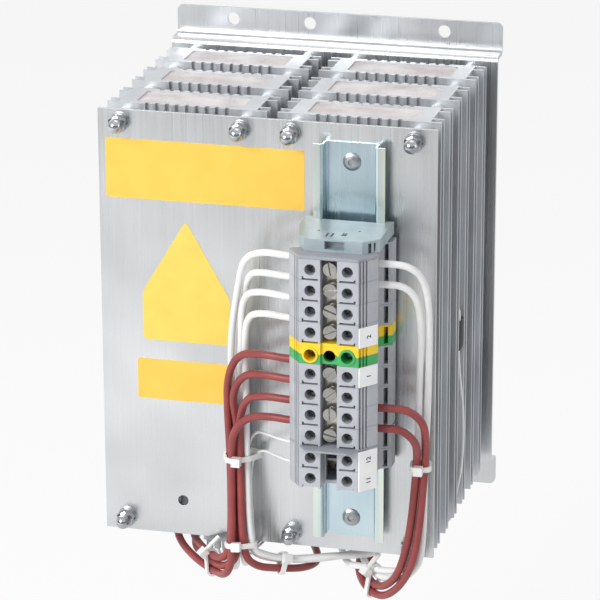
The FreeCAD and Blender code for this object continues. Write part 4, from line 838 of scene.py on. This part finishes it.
def white_floor():
    """Pale paper that the camera sees nearly white and mirrors see as a light."""
    material, tree, shader = new_material("paper_white", "#F4F4F4", 0.9)
    path = add(tree, "ShaderNodeLightPath").outputs
    seen = add(tree, "ShaderNodeMath", {"operation": "MAXIMUM"},
               _0=path["Is Camera Ray"], _1=path["Is Transmission Ray"])
    seen = add(tree, "ShaderNodeMath", {"operation": "MULTIPLY"},
               _0=seen.outputs[0], _1=SEEN_GLOW)
    split = add(tree, "ShaderNodeSeparateXYZ", Vector=place(tree))
    mirrored = 1.0
    for axis, kind, start, end, from_level, to_level in FLOOR_FALLS:
        fall = add(tree, "ShaderNodeMapRange", {"interpolation_type": kind},
                   Value=split.outputs[axis], _1=start, _2=end, _3=from_level, _4=to_level)
        mirrored = add(tree, "ShaderNodeMath", {"operation": "MULTIPLY"},
                       _0=mirrored, _1=fall.outputs[0]).outputs[0]
    strength = add(tree, "ShaderNodeMix", Factor=path["Is Glossy Ray"], _2=1.0, _3=mirrored)
    glow = add(tree, "ShaderNodeEmission", Color=linear("#FFFFFF"), Strength=strength.outputs[0])
    share = add(tree, "ShaderNodeMath", {"operation": "MAXIMUM"},
                _0=seen.outputs[0], _1=path["Is Glossy Ray"])
    mix = add(tree, "ShaderNodeMixShader",
              _0=share.outputs[0], _1=shader.outputs[0], _2=glow.outputs[0])
    tree.links.new(mix.outputs[0], tree.nodes["Material Output"].inputs["Surface"])
    return material


bpy.ops.mesh.primitive_plane_add(size=FLOOR_SIZE, location=(0, 0, FLOOR_Z))
floor = bpy.context.object
floor.name = "floor"
bpy.ops.object.transform_apply(location=True)
floor.data.materials.append(white_floor())
print("floor at", round(floor.data.vertices[0].co.z, 3))

# %% World
WORLD_LIGHT = 0.55                   # as a light
MIRRORED_WORLD = 0.85                # in mirrors
MIRRORED_ROOM = 0.22                 # in mirrors, in the dark band
BAND_MIDDLE = 0.16                   # height of the band, as the z of a direction of length 1
BAND_FULL, BAND_OUT = 0.10, 0.30     # full up to here from its middle, gone from here on
FRONT_OUT, FRONT_FULL = 0.1, -0.4    # the same for the y of the direction
world = bpy.data.worlds.new("studio")
bpy.context.scene.world = world
world.use_nodes = True
tree = world.node_tree
path = add(tree, "ShaderNodeLightPath").outputs
seen = add(tree, "ShaderNodeMath", {"operation": "MAXIMUM"},
           _0=path["Is Camera Ray"], _1=path["Is Transmission Ray"])
direction = add(tree, "ShaderNodeTexCoord").outputs["Generated"]
heading = add(tree, "ShaderNodeSeparateXYZ", Vector=direction)
height = add(tree, "ShaderNodeMath", {"operation": "SUBTRACT"},
             _0=heading.outputs[2], _1=BAND_MIDDLE)
height = add(tree, "ShaderNodeMath", {"operation": "ABSOLUTE"}, _0=height.outputs[0])
band = add(tree, "ShaderNodeMapRange", {"interpolation_type": "SMOOTHSTEP"},
           Value=height.outputs[0], _1=BAND_FULL, _2=BAND_OUT, _3=1.0, _4=0.0)
in_front = add(tree, "ShaderNodeMapRange", {"interpolation_type": "SMOOTHSTEP"},
               Value=heading.outputs[1], _1=FRONT_OUT, _2=FRONT_FULL, _3=0.0, _4=1.0)
room = add(tree, "ShaderNodeMath", {"operation": "MULTIPLY"},
           _0=band.outputs[0], _1=in_front.outputs[0])
mirrored = add(tree, "ShaderNodeMapRange",
               Value=room.outputs[0], _3=MIRRORED_WORLD, _4=MIRRORED_ROOM)
lit = add(tree, "ShaderNodeMix",
          Factor=path["Is Glossy Ray"], _2=WORLD_LIGHT, _3=mirrored.outputs[0])
strength = add(tree, "ShaderNodeMix", Factor=seen.outputs[0], _2=lit.outputs[0], _3=1.0)
background = tree.nodes["Background"]
background.inputs["Color"].default_value = linear("#FFFFFF")
tree.links.new(strength.outputs[0], background.inputs["Strength"])
print("world:", world.name)

# %% [markdown]
# The real object was lit from large soft boxes.  A large soft lamp stands high on the left in
# front, a weak one on the right, and a third lights the top from behind.

# %% Lamps
def soft_lamp(name, spot, aim, size, power):
    """Square area lamp that looks at a point."""
    bpy.ops.object.light_add(type="AREA", location=spot)
    lamp = bpy.context.object
    lamp.name = name
    lamp.data.shape = "SQUARE"
    lamp.data.size = size
    lamp.data.energy = power
    lamp.rotation_mode = "QUATERNION"
    lamp.rotation_quaternion = (Vector(spot) - Vector(aim)).to_track_quat("Z", "Y")


soft_lamp("key_left", spot=(-0.75, -1.4, 0.8), aim=(0, -0.1, 0), size=0.9, power=21)
soft_lamp("fill_right", spot=(1.4, -0.1, 0.4), aim=(0, -0.1, 0), size=0.8, power=2)
soft_lamp("top_back", spot=(0.1, 0.4, 1.3), aim=(0, -0.05, 0), size=0.9, power=3)
bpy.context.scene.view_settings.view_transform = "Standard"
